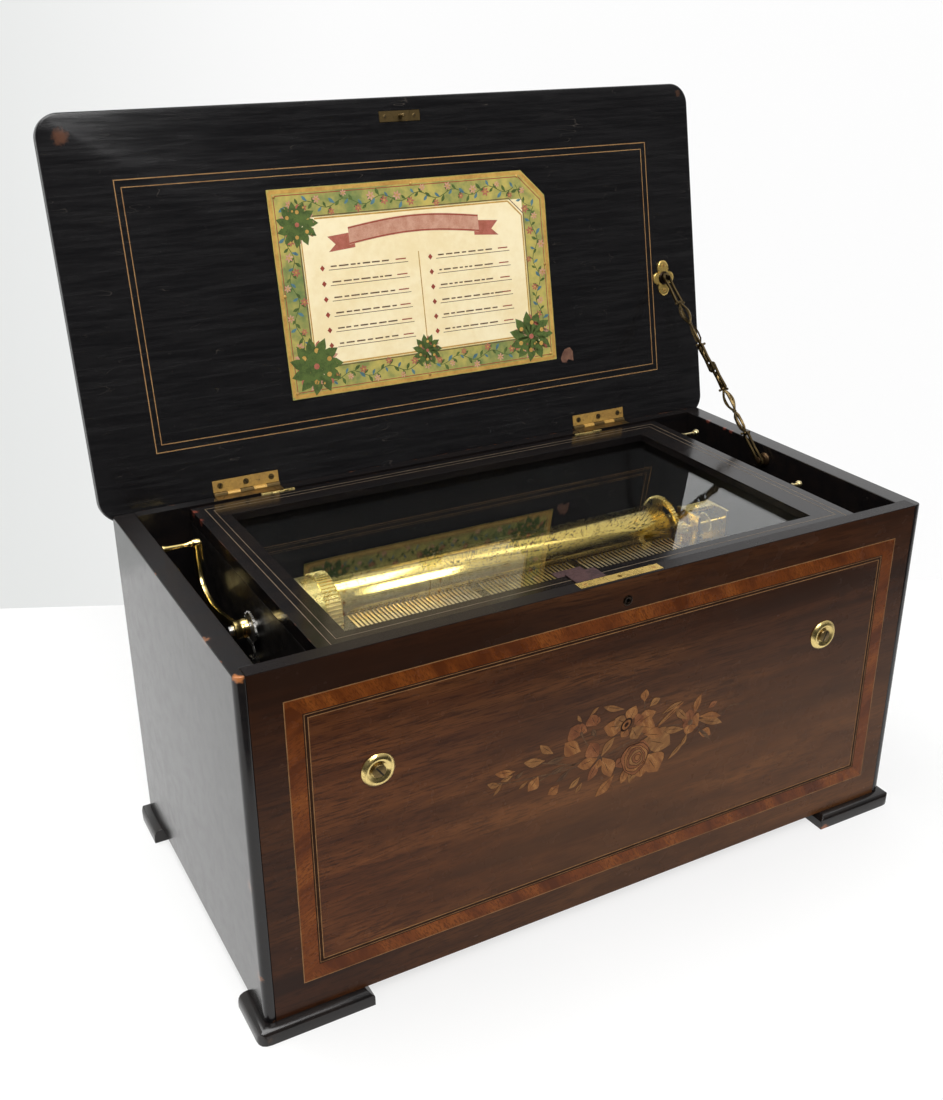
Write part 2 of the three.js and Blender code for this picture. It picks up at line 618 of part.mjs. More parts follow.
for (const [sideName, side] of Object.entries(SIDES))
  for (const [endName, end] of Object.entries({ front: -1, back: 1 }))
    add(`foot_${endName}_${sideName}`, foot(side, end, FOOT_ARMS[sideName]), BLACK, caseGroup,
      [0, 0, -FOOT_HEIGHT]);

// Lock in the front board
const pegHole = LOCK_PEG_RADIUS + LOCK_PEG_CLEARANCE;
const boltTop = hingeZ - LOCK_PEG_WAIST.from - GAP;
const boltBottom = boltTop - BOLT_THICKNESS;

function lockBody() {
  const plate = block(lockPlateLeft, lockPlateRight, LOCK_PLATE.front,
    LOCK_PLATE.front + LOCK_PLATE.width, lockPlateBottom, CASE_HEIGHT);
  const body = block(lockCaseLeft, lockCaseRight, lockCaseFront, lockCaseBack, lockCaseBottom,
    lockPlateBottom + GAP);
  const wall = LOCK_CASE.wall;
  const hollow = block(lockCaseLeft + wall, lockCaseRight - wall, lockCaseFront + wall,
    lockCaseBack - wall, lockCaseBottom + wall, lockPlateBottom - GAP);
  const pegBore = rod("z", pegHole, lockPlateBottom - OVERRUN, aboveRim,
    [LOCK_CENTRE_X, lockMiddleY], 12);
  const keyWay = rod("y", KEYHOLE.radius, lockCaseFront - OVERRUN, lockMiddleY,
    [KEYHOLE.x, keyholeZ], 10);
  return cut(join(plate, body), hollow, pegBore, keyWay);
}

function boltPlate() {
  const halfDepth = LOCK_CASE.thickness / 2 - LOCK_CASE.wall - GAP;
  const start = -BOLT_LENGTH / 2;
  const plate = block(start, start + BOLT_LENGTH, -halfDepth, halfDepth, 0, BOLT_THICKNESS);
  const narrow = LOCK_PEG_WAIST.radius + GAP;
  const mouth = block(-pegHole, pegHole, -pegHole, pegHole, -OVERRUN, BOLT_THICKNESS + OVERRUN);
  const throat = block(-BOLT_TRAVEL - pegHole, 0, -narrow, narrow, -OVERRUN,
    BOLT_THICKNESS + OVERRUN);
  return cut(plate, mouth, throat);
}

add("lock", lockBody(), BRASS);
const boltGroup = group("lock_bolt_slide", caseGroup, [LOCK_CENTRE_X, lockMiddleY, boltBottom]);
add("lock_bolt", boltPlate(), STEEL, boltGroup);
const escutcheon = slabY(ring(KEYHOLE.ring, KEYHOLE.radius), -KEYHOLE.proud, KEYHOLE.depth, 6);
add("keyhole_escutcheon", escutcheon, DARK_BRONZE, caseGroup, [KEYHOLE.x, 0, keyholeZ]);

// Bedplate, cup washers and the screws through the case
function bedplate() {
  const half = worksHalf - BEDPLATE_SIDE_GAP;
  const lug = MOUNT_LUG_WIDTH / 2;
  const [left, right] = [mountScrewX - lug, Math.min(mountScrewX + lug, half)];
  const front = FRONT_THICKNESS + GAP;
  const back = backInside - GAP;
  const points = [
    [-half, BEDPLATE_FRONT], [-right, BEDPLATE_FRONT], [-right, front], [-left, front],
    [-left, BEDPLATE_FRONT], [left, BEDPLATE_FRONT], [left, front], [right, front],
    [right, BEDPLATE_FRONT], [half, BEDPLATE_FRONT], [half, bedBack],
    [right, bedBack], [right, back], [left, back], [left, bedBack],
    [-left, bedBack], [-left, back], [-right, back], [-right, bedBack],
    [-half, bedBack],
  ].filter((point, i, all) => i === 0 || point.some((value, k) => value !== all[i - 1][k]));
  const plate = slabZ(outlineOf(points), bedBase, bedTop);
  const depth = MOUNT_SCREW_GRIP + GAP;
  const bores = mountPlaces.flatMap((place) => [
    rod("y", mountHole, FRONT_THICKNESS - OVERRUN, FRONT_THICKNESS + depth, place),
    rod("y", mountHole, backInside - depth, backInside + OVERRUN, place),
  ]);
  return cut(plate, ...bores);
}

const cupProfile = [
  [mountHole, 0], [CUP.radius, 0], [CUP.radius, CUP.rim],
  [CUP.radius * (1 + CUP.crestShare) / 2, CUP.crest * CUP.crestShare],
  [CUP.radius * CUP.crestShare, CUP.crest],
  [CUP.radius * CUP.dishShare, CUP.dish], [mountHole, CUP.dish],
];

// A slotted screw in its dished cup, with the case's face at z = 0 and outside above it.
function cuppedScrew(wall) {
  const { radius, height, slot, slotDepth, sink } = CUP_SCREW_HEAD;
  const head = slottedHead(radius, height, slot, slotDepth, 12).translate(0, 0, CUP.dish - sink);
  const shank = rod("z", MOUNT_SCREW_RADIUS, -wall - MOUNT_SCREW_GRIP, CUP.dish, [0, 0], 8);
  return join(turned(cupProfile, "z", CUP_FACETS), head, shank);
}

add("bedplate", bedplate(), IRON);
for (const [sideName, side] of Object.entries(SIDES)) {
  const x = side * mountScrewX;
  add(`case_screw_front_${sideName}`, cuppedScrew(FRONT_THICKNESS).rotateX(Math.PI / 2), BRASS,
    caseGroup, [x, 0, bedMiddle]);
  add(`case_screw_back_${sideName}`, cuppedScrew(BACK_THICKNESS).rotateX(-Math.PI / 2), BRASS,
    caseGroup, [x, CASE_DEPTH, bedMiddle]);
}

// Lid hinges
const knuckleLength = (HINGE_LENGTH - (KNUCKLE_COUNT - 1) * KNUCKLE_GAP) / KNUCKLE_COUNT;
const knuckleRoom = KNUCKLE_RADIUS + GAP;

// The leaf lies in Y < 0 at the height of zLeaf, and its knuckles turn about Y = Z = 0.
// The rim leaf's knuckles hold the pin tightly, and the lid leaf's turn on it.
function hingeLeaf(depth, zLeaf, firstKnuckle, bore) {
  const half = HINGE_LENGTH / 2;
  const zEnd = zLeaf + HINGE_LEAF_THICKNESS;
  const parts = [block(-half, half, -depth, -knuckleRoom, zLeaf, zEnd)];
  for (let i = firstKnuckle; i < KNUCKLE_COUNT; i += 2) {
    const x0 = -half + i * (knuckleLength + KNUCKLE_GAP);
    const barrel = bore ? slabX(ring(KNUCKLE_RADIUS, bore), x0, x0 + knuckleLength, 4)
      : rod("x", KNUCKLE_RADIUS, x0, x0 + knuckleLength, [0, 0], 8);
    const tongue = block(x0, x0 + knuckleLength, -knuckleRoom - GAP,
      -HINGE_PIN_RADIUS - 2 * RUN, zLeaf, zEnd);
    parts.push(barrel, tongue);
  }
  return join(...parts);
}

const rimLeaf = hingeLeaf(HINGE_RIM_LEAF, -HINGE_LEAF_THICKNESS - LID_SEAT_GAP, 0, 0);
const lidLeaf = hingeLeaf(HINGE_LID_LEAF, 0, 1, HINGE_PIN_RADIUS + RUN);
const rimLeafWithPin = join(rimLeaf,
  rod("x", HINGE_PIN_RADIUS, -HINGE_LENGTH / 2 + KNUCKLE_GAP, HINGE_LENGTH / 2 - KNUCKLE_GAP,
    [0, 0], 8));
const hingePlace = [0, hingeY, hingeZ];
for (const [name, x] of Object.entries(hingeX)) {
  const place = [x, hingeY, hingeZ];
  add(`hinge_rim_leaf_${name}`, rimLeafWithPin, AGED_BRASS, caseGroup, place);
}

// Lid, drawn closed about its hinge line and turned open
const lidGroup = group("lid_hinge", caseGroup, hingePlace,
  -THREE.MathUtils.degToRad(LID_OPEN_ANGLE));
const lidHalf = halfWidth + LID_SIDE_OVERHANG;

function lidBand(inset, z0, z1, round, segments) {
  const outline = roundedRectangle(-lidHalf + inset, lidHalf - inset, -lidFrontReach + inset,
    LID_BACK_OVERHANG - inset, LID_CORNER_RADIUS - inset);
  return new THREE.ExtrudeGeometry(outline, {
    depth: z1 - z0 - 2 * round, bevelThickness: round, bevelSize: round, bevelOffset: -round,
    bevelSegments: segments, curveSegments: 3,
  }).translate(0, 0, z0 + round);
}

function lidPanel() {
  const body = join(
    lidBand(0, 0, LID_LOWER_BAND + LID_UPPER_ROUND, LID_LOWER_ROUND, 1),
    lidBand(0, LID_THICKNESS - 2 * LID_UPPER_ROUND - GAP, LID_THICKNESS, LID_UPPER_ROUND, 3),
  );
  const cutters = [];
  const leafHalf = HINGE_LENGTH / 2 + GAP;
  for (const x of hingeCentres) {
    cutters.push(block(x - leafHalf, x + leafHalf, -HINGE_LID_LEAF - GAP, 0, -OVERRUN,
      HINGE_LEAF_THICKNESS + GAP));
    cutters.push(block(x - leafHalf, x + leafHalf, -knuckleRoom, knuckleRoom, -OVERRUN,
      knuckleRoom));
  }
  const strikeHalf = STRIKE_PLATE.length / 2 + GAP;
  const strikeY = lockMiddleY - hingeY;
  cutters.push(block(LOCK_CENTRE_X - strikeHalf, LOCK_CENTRE_X + strikeHalf,
    strikeY - STRIKE_PLATE.width / 2 - GAP, strikeY + STRIKE_PLATE.width / 2 + GAP,
    -OVERRUN, STRIKE_PLATE.thickness + GAP));
  return cut(body, ...cutters);
}

function strikePlate() {
  const plate = block(-STRIKE_PLATE.length / 2, STRIKE_PLATE.length / 2,
    -STRIKE_PLATE.width / 2, STRIKE_PLATE.width / 2, 0, STRIKE_PLATE.thickness);
  const waist = LOCK_PEG_WAIST;
  const peg = turned([
    [0, STRIKE_PLATE.thickness / 2], [LOCK_PEG_RADIUS, STRIKE_PLATE.thickness / 2],
    [LOCK_PEG_RADIUS, -waist.from], [waist.radius, -waist.from], [waist.radius, -waist.to],
    [LOCK_PEG_RADIUS, -waist.to], [LOCK_PEG_RADIUS / 2, -LOCK_PEG_LENGTH], [0, -LOCK_PEG_LENGTH],
  ], "z", 12);
  return join(plate, peg);
}

// The sheet's top right corner is cut off
function tuneSheet() {
  const { left, right, bottom, top, corner, thickness } = SHEET;
  const outline = outlineOf([[left, -bottom], [right, -bottom], [right, -top + corner],
    [right - corner, -top], [left, -top]]);
  return slabZ(outline, -GAP - thickness, -GAP);
}

// A plate with four soft lobes, longer than it is wide
function lobedPlate({ width, height }) {
  const points = [];
  for (let i = 0; i < LOBE_STEPS; i++) {
    const angle = (i / LOBE_STEPS) * Math.PI * 2;
    const size = 1 - LOBE_SHARE * Math.sin(2 * angle) ** 2;
    points.push([(width / 2) * size * Math.cos(angle), (height / 2) * size * Math.sin(angle)]);
  }
  return outlineOf(points);
}

// The stud stands out from the lid's inner face, and the chain's last link hangs on its neck.
function lidChainPlate() {
  const { thickness } = CHAIN_LID_PLATE;
  const under = -GAP - thickness;
  const neckFrom = under - CHAIN_STUD.boss.depth;
  const neckTo = neckFrom - CHAIN_STUD.neck.length;
  const plate = slabZ(lobedPlate(CHAIN_LID_PLATE), under, -GAP);
  const stud = turned([
    [0, under + thickness / 2], [CHAIN_STUD.boss.radius, under + thickness / 2],
    [CHAIN_STUD.boss.radius, under], [CHAIN_STUD.neck.radius * 2, neckFrom],
    [CHAIN_STUD.neck.radius, neckFrom], [CHAIN_STUD.neck.radius, neckTo],
    [CHAIN_STUD.head.radius, neckTo], [CHAIN_STUD.neck.radius, neckTo - CHAIN_STUD.head.depth],
    [0, neckTo - CHAIN_STUD.head.depth],
  ], "z", 8);
  return join(plate, stud);
}

add("lid", lidPanel(), BLACK, lidGroup);
for (const [name, x] of Object.entries(hingeX))
  add(`hinge_lid_leaf_${name}`, lidLeaf, AGED_BRASS, lidGroup, [x, 0, 0]);
add("strike_plate", strikePlate(), BRASS, lidGroup, [LOCK_CENTRE_X, lockMiddleY - hingeY, 0]);
add("tune_card", tuneSheet(), PAPER, lidGroup);
const studPlace = [chainLidX, -CHAIN_LID_REACH, 0];
add("lid_chain_plate", lidChainPlate(), BRASS, lidGroup, studPlace);

// Lid chain: two stiff halves that meet side by side
const hangDepth = GAP + CHAIN_LID_PLATE.thickness + CHAIN_STUD.boss.depth
  + CHAIN_STUD.neck.length * CHAIN_HANG_SHARE;
const openTurn = -THREE.MathUtils.degToRad(LID_OPEN_ANGLE);
const hangY = hingeY - CHAIN_LID_REACH * Math.cos(openTurn) + hangDepth * Math.sin(openTurn);
const hangZ = hingeZ - CHAIN_LID_REACH * Math.sin(openTurn) - hangDepth * Math.cos(openTurn);
const chainAngle = Math.atan2(hangZ - chainWallZ, hangY - CHAIN_WALL_Y);
const chainHalfLength = Math.hypot(hangZ - chainWallZ, hangY - CHAIN_WALL_Y) / 2;
const chainWallX = innerHalf - CHAIN_ROSETTE.thickness - CHAIN_ROSETTE.reach;
const chainMiddleX = (chainWallX + chainLidX) / 2;

function ball(radius, x, y, z, around = 6, along = 3) {
  return new THREE.SphereGeometry(radius, around, along).translate(x, y, z);
}

// A long open link between two places on the chain's line, wide near both ends.
function openLink(from, to, acrossX, shift) {
  const outline = (half, start, end) => {
    const sides = [1, -1].map((side) => LINK_PATH_SHARES.map(([along, out]) =>
      [side * half * out, THREE.MathUtils.lerp(start, end, along)]));
    const points = [...sides[0], ...sides[1].reverse()];
    return acrossX ? points : points.map(([out, y]) => [y, out]);
  };
  const shape = outlineOf(outline(LINK_HALF_WIDTH + WIRE_RADIUS, from - WIRE_RADIUS,
    to + WIRE_RADIUS));
  shape.holes.push(new THREE.Path(outlineOf(outline(LINK_HALF_WIDTH - WIRE_RADIUS,
    from + WIRE_RADIUS, to - WIRE_RADIUS)).getPoints()));
  const slab = acrossX ? slabZ : slabX;
  return slab(shape, shift - WIRE_RADIUS, shift + WIRE_RADIUS);
}

function cage(from, to) {
  return Array.from({ length: CAGE_WIRES }, (_, i) => {
    const angle = (i / CAGE_WIRES + CAGE_TURN_SHARE) * Math.PI * 2;
    const path = CAGE_PATH_SHARES.map(([along, out]) => new THREE.Vector3(
      CAGE_RADIUS * out * Math.cos(angle), from + (to - from) * along,
      CAGE_RADIUS * out * Math.sin(angle)));
    return tube(path, WIRE_RADIUS, 3, CAGE_STEPS);
  });
}

function crossPin(y) {
  const { radius, half, knob } = CROSS_PIN;
  return [rod("x", radius, -half, half, [y, 0], 6), ball(knob, -half, y, 0), ball(knob, half, y, 0)];
}

function chainHalf(linkAcrossX, lean, shift) {
  const ends = CHAIN_SHARES.reduce((list, share) =>
    [...list, list.at(-1) + share * chainHalfLength], [0]);
  const [start, firstPin, knobs, secondPin, end] = ends;
  const inner = [
    openLink(start - LINK_EYE, firstPin, linkAcrossX, 0),
    ...crossPin(firstPin),
    ...cage(firstPin, knobs), ball(CHAIN_KNOB, 0, knobs, 0), ...cage(knobs, secondPin),
    ...crossPin(secondPin),
    rod("x", WIRE_RADIUS, Math.min(0, shift), Math.max(0, shift), [secondPin, 0], 6),
    openLink(secondPin, end + LINK_EYE, false, shift),
  ];
  return join(...inner).rotateZ(lean);
}

const chainLean = Math.asin((chainWallX - chainMiddleX) / chainHalfLength);
const chainShift = WIRE_RADIUS + GAP;
const lowerChain = group("chain_lower_turn", caseGroup, [chainWallX, CHAIN_WALL_Y, chainWallZ],
  chainAngle);
const upperChain = group("chain_upper_turn", lidGroup, [chainLidX, -CHAIN_LID_REACH, -hangDepth],
  chainAngle + Math.PI - openTurn);
add("chain_lower", chainHalf(false, chainLean, chainShift), DARK_BRONZE, lowerChain);
add("chain_upper", chainHalf(true, -chainLean, -chainShift), DARK_BRONZE, upperChain);

const rosetteProfile = [
  [0, 0], [CHAIN_ROSETTE.radius, 0], [CHAIN_ROSETTE.radius, CHAIN_ROSETTE.thickness / 2],
  [CHAIN_ROSETTE.neck * 2, CHAIN_ROSETTE.thickness],
  [CHAIN_ROSETTE.neck, CHAIN_ROSETTE.thickness], [CHAIN_ROSETTE.neck, CHAIN_ROSETTE.length],
  [CHAIN_ROSETTE.head, CHAIN_ROSETTE.length],
  [CHAIN_ROSETTE.neck, CHAIN_ROSETTE.length + CHAIN_ROSETTE.cap],
  [0, CHAIN_ROSETTE.length + CHAIN_ROSETTE.cap],
];
add("chain_wall_plate", turned(rosetteProfile, "x", 10).rotateZ(Math.PI), DARK_BRONZE,
  caseGroup, [innerHalf, CHAIN_WALL_Y, chainWallZ]);

// Glass lid, drawn about its own hinge line in the plane of its top
const glassGroup = group("glass_lid_hinge", caseGroup, [0, glassHingeY, glassTop]);
const glassFront = FRONT_THICKNESS + GLASS_FRAME_FRONT_GAP - glassHingeY;
const glassBack = backInside - GLASS_FRAME_BACK_GAP - glassHingeY;
const opening = {
  x0: -wellHalf + GLASS_RAIL.left, x1: wellHalf - GLASS_RAIL.right,
  y0: glassFront + GLASS_RAIL.front, y1: glassBack - GLASS_RAIL.back,
};
const smallLeafTop = -glassKnuckleRoom;

function glassFrame() {
  const frame = block(-wellHalf, wellHalf, glassFront, glassBack, -GLASS_FRAME_THICKNESS, 0);
  const { x0, x1, y0, y1 } = opening;
  const cutters = [
    block(x0, x1, y0, y1, -GLASS_FRAME_THICKNESS - OVERRUN, OVERRUN),
    block(x0 - GLASS_REBATE, x1 + GLASS_REBATE, y0 - GLASS_REBATE, y1 + GLASS_REBATE,
      -GLASS_FRAME_THICKNESS - OVERRUN, -GLASS_RECESS),
  ];
  const half = GLASS_HINGE.length / 2 + GAP;
  for (const x of glassHingeCentres) {
    cutters.push(block(x - half, x + half, -glassKnuckleRoom, OVERRUN, -glassKnuckleRoom,
      OVERRUN));
    cutters.push(block(x - half, x + half, glassBack - GLASS_HINGE.leaf, OVERRUN,
      -GLASS_HINGE.height - GAP, OVERRUN));
  }
  return cut(frame, ...cutters);
}

const smallKnuckle = (GLASS_HINGE.length - 2 * GLASS_HINGE.gap) / 3;
const smallHalf = GLASS_HINGE.length / 2;

function wallLeaf() {
  const { radius, leaf, height, pin } = GLASS_HINGE;
  const wall = backInside - glassHingeY;
  const parts = [
    block(-smallHalf, smallHalf, wall, wall + leaf, -height, smallLeafTop),
    rod("x", pin, -smallHalf, smallHalf, [0, 0], 6),
  ];
  for (const x0 of [-smallHalf, smallHalf - smallKnuckle]) {
    parts.push(rod("x", radius, x0, x0 + smallKnuckle, [0, 0], 8));
    parts.push(block(x0, x0 + smallKnuckle, wall, wall + leaf, smallLeafTop - GAP, 0));
  }
  return join(...parts);
}

function frameLeaf() {
  const { radius, leaf, height, pin } = GLASS_HINGE;
  const bore = pin + RUN;
  const middle = smallKnuckle / 2;
  const barrel = slabX(ring(radius, bore), -middle, middle, 3);
  return join(
    barrel,
    block(-middle, middle, glassBack - leaf, glassBack, smallLeafTop - GAP, -bore),
    block(-smallHalf, smallHalf, glassBack - leaf, glassBack, -height, smallLeafTop),
  );
}

function pullTab() {
  const lie = -GLASS_RECESS + GAP;
  const top = GAP;
  const rise = opening.y0 + GAP;
  const far = opening.y0 + TAB_LENGTH_ON_GLASS;
  const t = TAB_THICKNESS;
  const outline = outlineOf([
    [far, lie], [far, lie + t], [rise + t, lie + t], [rise + t, top + t], [glassFront, top + t],
    [glassFront, top], [rise, top], [rise, lie],
  ]);
  return slabX(outline, TAB_CENTRE_X - TAB_WIDTH / 2, TAB_CENTRE_X + TAB_WIDTH / 2);
}

const seat = GLASS_REBATE - GAP;
add("glass_lid_frame", glassFrame(), BLACK, glassGroup);
add("glass_pane", block(opening.x0 - seat, opening.x1 + seat, opening.y0 - seat,
  opening.y1 + seat, -GLASS_RECESS - GLASS_THICKNESS, -GLASS_RECESS), GLASS, glassGroup);
add("pull_tab", pullTab(), LEATHER, glassGroup);
for (const [name, side] of Object.entries(SIDES)) {
  const x = side * glassHingeX;
  add(`glass_hinge_frame_leaf_${name}`, frameLeaf(), BRASS, glassGroup, [x, 0, 0]);
  add(`glass_hinge_wall_leaf_${name}`, wallLeaf(), BRASS, caseGroup, [x, glassHingeY, glassTop]);
}

// Bridges that carry the shafts over the bedplate
function bridge(length, bore) {
  const r = BRIDGE_HEAD_RADIUS;
  const foot = bedTop - axisZ;
  const shape = new THREE.Shape();
  shape.moveTo(-r, foot);
  shape.lineTo(r, foot);
  shape.lineTo(r, 0);
  shape.absarc(0, 0, r, 0, Math.PI);
  shape.holes.push(new THREE.Path().absarc(0, 0, bore, 0, Math.PI * 2, true));
  return slabX(shape, 0, length, 8);
}

function bridgeFoot(x0, x1) {
  const foot = bedTop - axisZ;
  return block(x0, x1, -BRIDGE_HEAD_RADIUS, BRIDGE_HEAD_RADIUS, foot, foot + BRIDGE_FOOT.thickness);
}

const shaftBore = SHAFT_RADIUS + RUN;
const barrelEnd = cylinderStart - BARREL_GAP;
const barrelStart = barrelEnd - BARREL_LENGTH;
const barrelBridgeEnd = barrelStart - BRIDGE_GAP;
const barrelBridgeStart = barrelBridgeEnd - BRIDGE_THICKNESS;
const wheelStart = cylinderEnd + GREAT_WHEEL.gap;
const wheelEnd = wheelStart + GREAT_WHEEL.width;
const governorStart = wheelEnd + GOVERNOR_GAP;
const onAxis = (x) => [x, AXIS_Y, axisZ];
add("barrel_bridge", join(bridge(BRIDGE_THICKNESS, shaftBore),
  bridgeFoot(-BRIDGE_FOOT.toLeft, BRIDGE_THICKNESS)), BRASS, caseGroup, onAxis(barrelBridgeStart));
add("end_bridge", join(bridge(END_BRIDGE_THICKNESS, shaftBore),
  bridgeFoot(0, BRIDGE_FOOT.length)), BRASS, caseGroup, onAxis(governorStart));

// Cylinder with its pins, wheel, shaft and the spring barrel: they turn as one
const cylinderGroup = group("cylinder_turn", caseGroup, onAxis(0));
const row = (start, count) => Array.from({ length: count }, (_, i) => start + i * TOOTH_PITCH);
const rowWithin = (start, end) => row(start, Math.floor((end - start) / TOOTH_PITCH) + 1);
const keyX = row((cylinderStart + cylinderEnd) / 2 - KEYS_FROM_MIDDLE, ORGAN_KEYS);
const bassX = rowWithin(cylinderStart + BASS_MARGIN, keyX[0] - GROUP_GAPS.bass);
const trebleX = rowWithin(keyX.at(-1) + GROUP_GAPS.treble, cylinderEnd - TREBLE_MARGIN);

function pinsAt(x, count, order) {
  return Array.from({ length: count }, (_, i) => {
    const turn = ((order * GOLDEN_SHARE + i / count) % 1) * Math.PI * 2;
    const length = PIN_HEIGHT + PIN_SINK;
    const pin = new THREE.CylinderGeometry(PIN_RADIUS, PIN_RADIUS, length, 3);
    return pin.rotateX(Math.PI / 2).translate(0, 0, pinCircle - length / 2)
      .rotateX(turn).translate(x, 0, 0);
  });
}

function cylinder() {
  const [x0, x1] = [cylinderStart, cylinderEnd];
  const bore = SHAFT_RADIUS + GAP;
  const inner = CYLINDER_RADIUS - CYLINDER_WALL;
  const drum = turned([
    [bore, x0], [CYLINDER_RADIUS, x0], [CYLINDER_RADIUS, x1], [bore, x1],
    [bore, x1 - CYLINDER_END_WALL], [inner, x1 - CYLINDER_END_WALL],
    [inner, x0 + CYLINDER_END_WALL], [bore, x0 + CYLINDER_END_WALL],
  ], "x", CYLINDER_FACETS);
  const toothPins = [...bassX, ...trebleX].flatMap((x, i) => pinsAt(x, PINS_PER_TOOTH, i));
  const keyPins = keyX.flatMap((x, i) => pinsAt(x, PINS_PER_KEY, i * 2));
  return join(drum, ...toothPins, ...keyPins);
}

function greatWheel() {
  const { teeth, module, width, spokes, hub, rim } = GREAT_WHEEL;
  const pitch = (teeth * module) / 2;
  const tip = pitch + module * GEAR_TIP_SHARE;
  const root = pitch - module * GEAR_ROOT_SHARE;
  const shape = toothedShape(teeth, tip, root, TOOTH_ROOT_SHARE, 0);
  shape.holes.push(new THREE.Path().absarc(0, 0, SHAFT_RADIUS + GAP, 0, Math.PI * 2, true));
  const step = (Math.PI * 2) / spokes;
  for (let i = 0; i < spokes; i++) {
    const [a, b] = [i * step + SPOKE_HALF_ANGLE, (i + 1) * step - SPOKE_HALF_ANGLE];
    const window = new THREE.Path().absarc(0, 0, root - rim, a, b);
    window.absarc(0, 0, hub, b, a, true);
    window.closePath();
    shape.holes.push(window);
  }
  return slabX(shape, wheelStart, wheelStart + width, 5);
}

function barrel() {
  const bore = SHAFT_RADIUS + GAP;
  const inner = BARREL_RADIUS - BARREL_WALL;
  const open = barrelStart + BARREL_CAP;
  const drum = turned([
    [bore, barrelEnd], [BARREL_RADIUS, barrelEnd], [BARREL_RADIUS, open], [inner, open],
    [inner, barrelEnd - BARREL_WALL], [bore, barrelEnd - BARREL_WALL],
  ], "x", BARREL_FACETS);
  const shape = toothedShape(BARREL_GEAR.teeth, BARREL_GEAR.tip, BARREL_GEAR.root,
    TOOTH_ROOT_SHARE, TOOTH_TIP_SHARE);
  shape.holes.push(new THREE.Path().absarc(0, 0, BARREL_RADIUS - BARREL_WALL / 2, 0,
    Math.PI * 2, true));
  return join(drum, slabX(shape, barrelEnd - BARREL_GEAR.width, barrelEnd, BARREL_FACETS / 2));
}

function spiral() {
  const outer = BARREL_RADIUS - BARREL_WALL - 2 * GAP - SPRING_THICKNESS;
  const inner = SHAFT_RADIUS + 2 * GAP;
  const count = SPRING_TURNS * SPRING_STEPS_PER_TURN;
  const line = (extra) => Array.from({ length: count + 1 }, (_, i) => {
    const angle = (i / SPRING_STEPS_PER_TURN) * Math.PI * 2;
    const radius = inner + ((outer - inner) * i) / count + extra;
    return [radius * Math.cos(angle), radius * Math.sin(angle)];
  });
  const outline = outlineOf([...line(SPRING_THICKNESS), ...line(0).reverse()]);
  return slabX(outline, barrelStart + BARREL_CAP + SPRING_END_GAP,
    barrelEnd - BARREL_WALL - SPRING_END_GAP);
}

const shaftSplit = barrelEnd - BARREL_WALL - SPRING_END_GAP;
add("cylinder", cylinder(), BRASS, cylinderGroup);
add("cylinder_arbor", rod("x", SHAFT_RADIUS, shaftSplit + GAP,
  governorStart + END_BRIDGE_THICKNESS + ARBOR_END), STEEL, cylinderGroup);
add("great_wheel", greatWheel(), DARK_BRONZE, cylinderGroup);
add("spring_barrel", barrel(), BRASS, cylinderGroup);
add("barrel_cap", slabX(ring(BARREL_RADIUS, shaftBore), barrelStart, barrelStart + BARREL_CAP, 12),
  BRASS, cylinderGroup);
add("mainspring", spiral(), STEEL, cylinderGroup);

// Combs on their brass base, with the organ's keys between them
const allX = [...bassX, ...keyX, ...trebleX];
const slotRoot = (x) => toothTipY - THREE.MathUtils.mapLinear(x, allX[0], allX.at(-1),
  TOOTH_LONG, TOOTH_SHORT);
const combBack = toothTipY - TOOTH_LONG - COMB_BODY;

// A row of teeth cut in one plate, whose slots end where rootAt says.
function comb(places, width, rootAt, back) {
  const half = width / 2;
  const start = places[0] - half - COMB_END_MARGIN;
  const end = places.at(-1) + half + COMB_END_MARGIN;
  const points = [[start, back], [start, rootAt(places[0])]];
  for (const x of places) points.push([x - half, rootAt(x)], [x - half, toothTipY],
    [x + half, toothTipY], [x + half, rootAt(x)]);
  points.push([end, rootAt(places.at(-1))], [end, back]);
  return slabZ(outlineOf(points), toothUnder, toothUnder + TOOTH_THICKNESS);
}

const baseFront = combBack + COMB_BASE.depth;
const combBaseOutline = outlineOf([
  [combBack - COMB_BASE.foot, bedTop], [baseFront + COMB_BASE.foot, bedTop],
  [baseFront, bedTop + COMB_BASE.foot], [baseFront, toothUnder], [combBack, toothUnder],
  [combBack, bedTop + COMB_BASE.foot],
]);

const keyRoot = toothTipY - KEY_LENGTH + KEY_RAIL;
add("bass_comb", comb(bassX, TOOTH_WIDTH, slotRoot, combBack), STEEL);
add("treble_comb", comb(trebleX, TOOTH_WIDTH, slotRoot, combBack), STEEL);
add("comb_base", slabX(combBaseOutline, allX[0] - COMB_BASE.overhang,
  allX.at(-1) + COMB_BASE.overhang), BRASS);
add("organ_keys", comb(keyX, KEY_WIDTH, () => keyRoot, toothTipY - KEY_LENGTH), BRASS);

// Organ below the bedplate
const chestFront = combBack;
const chestMiddle = (keyX[0] + keyX.at(-1)) / 2;
const trunkMiddle = chestFront + REED_CHEST.depth / 2;
const bellowsTop = BOTTOM_THICKNESS + BELLOWS.height;
const chestBase = bedBase - REED_CHEST.height;
add("reed_chest", join(
  block(keyX[0] - TOOTH_PITCH, keyX.at(-1) + TOOTH_PITCH, chestFront,
    chestFront + REED_CHEST.depth, chestBase, bedBase),
  block(chestMiddle - WIND_TRUNK.width / 2, chestMiddle + WIND_TRUNK.width / 2,
    trunkMiddle - WIND_TRUNK.depth / 2, trunkMiddle + WIND_TRUNK.depth / 2, bellowsTop,
    chestBase + GAP),
), RAW_WOOD);

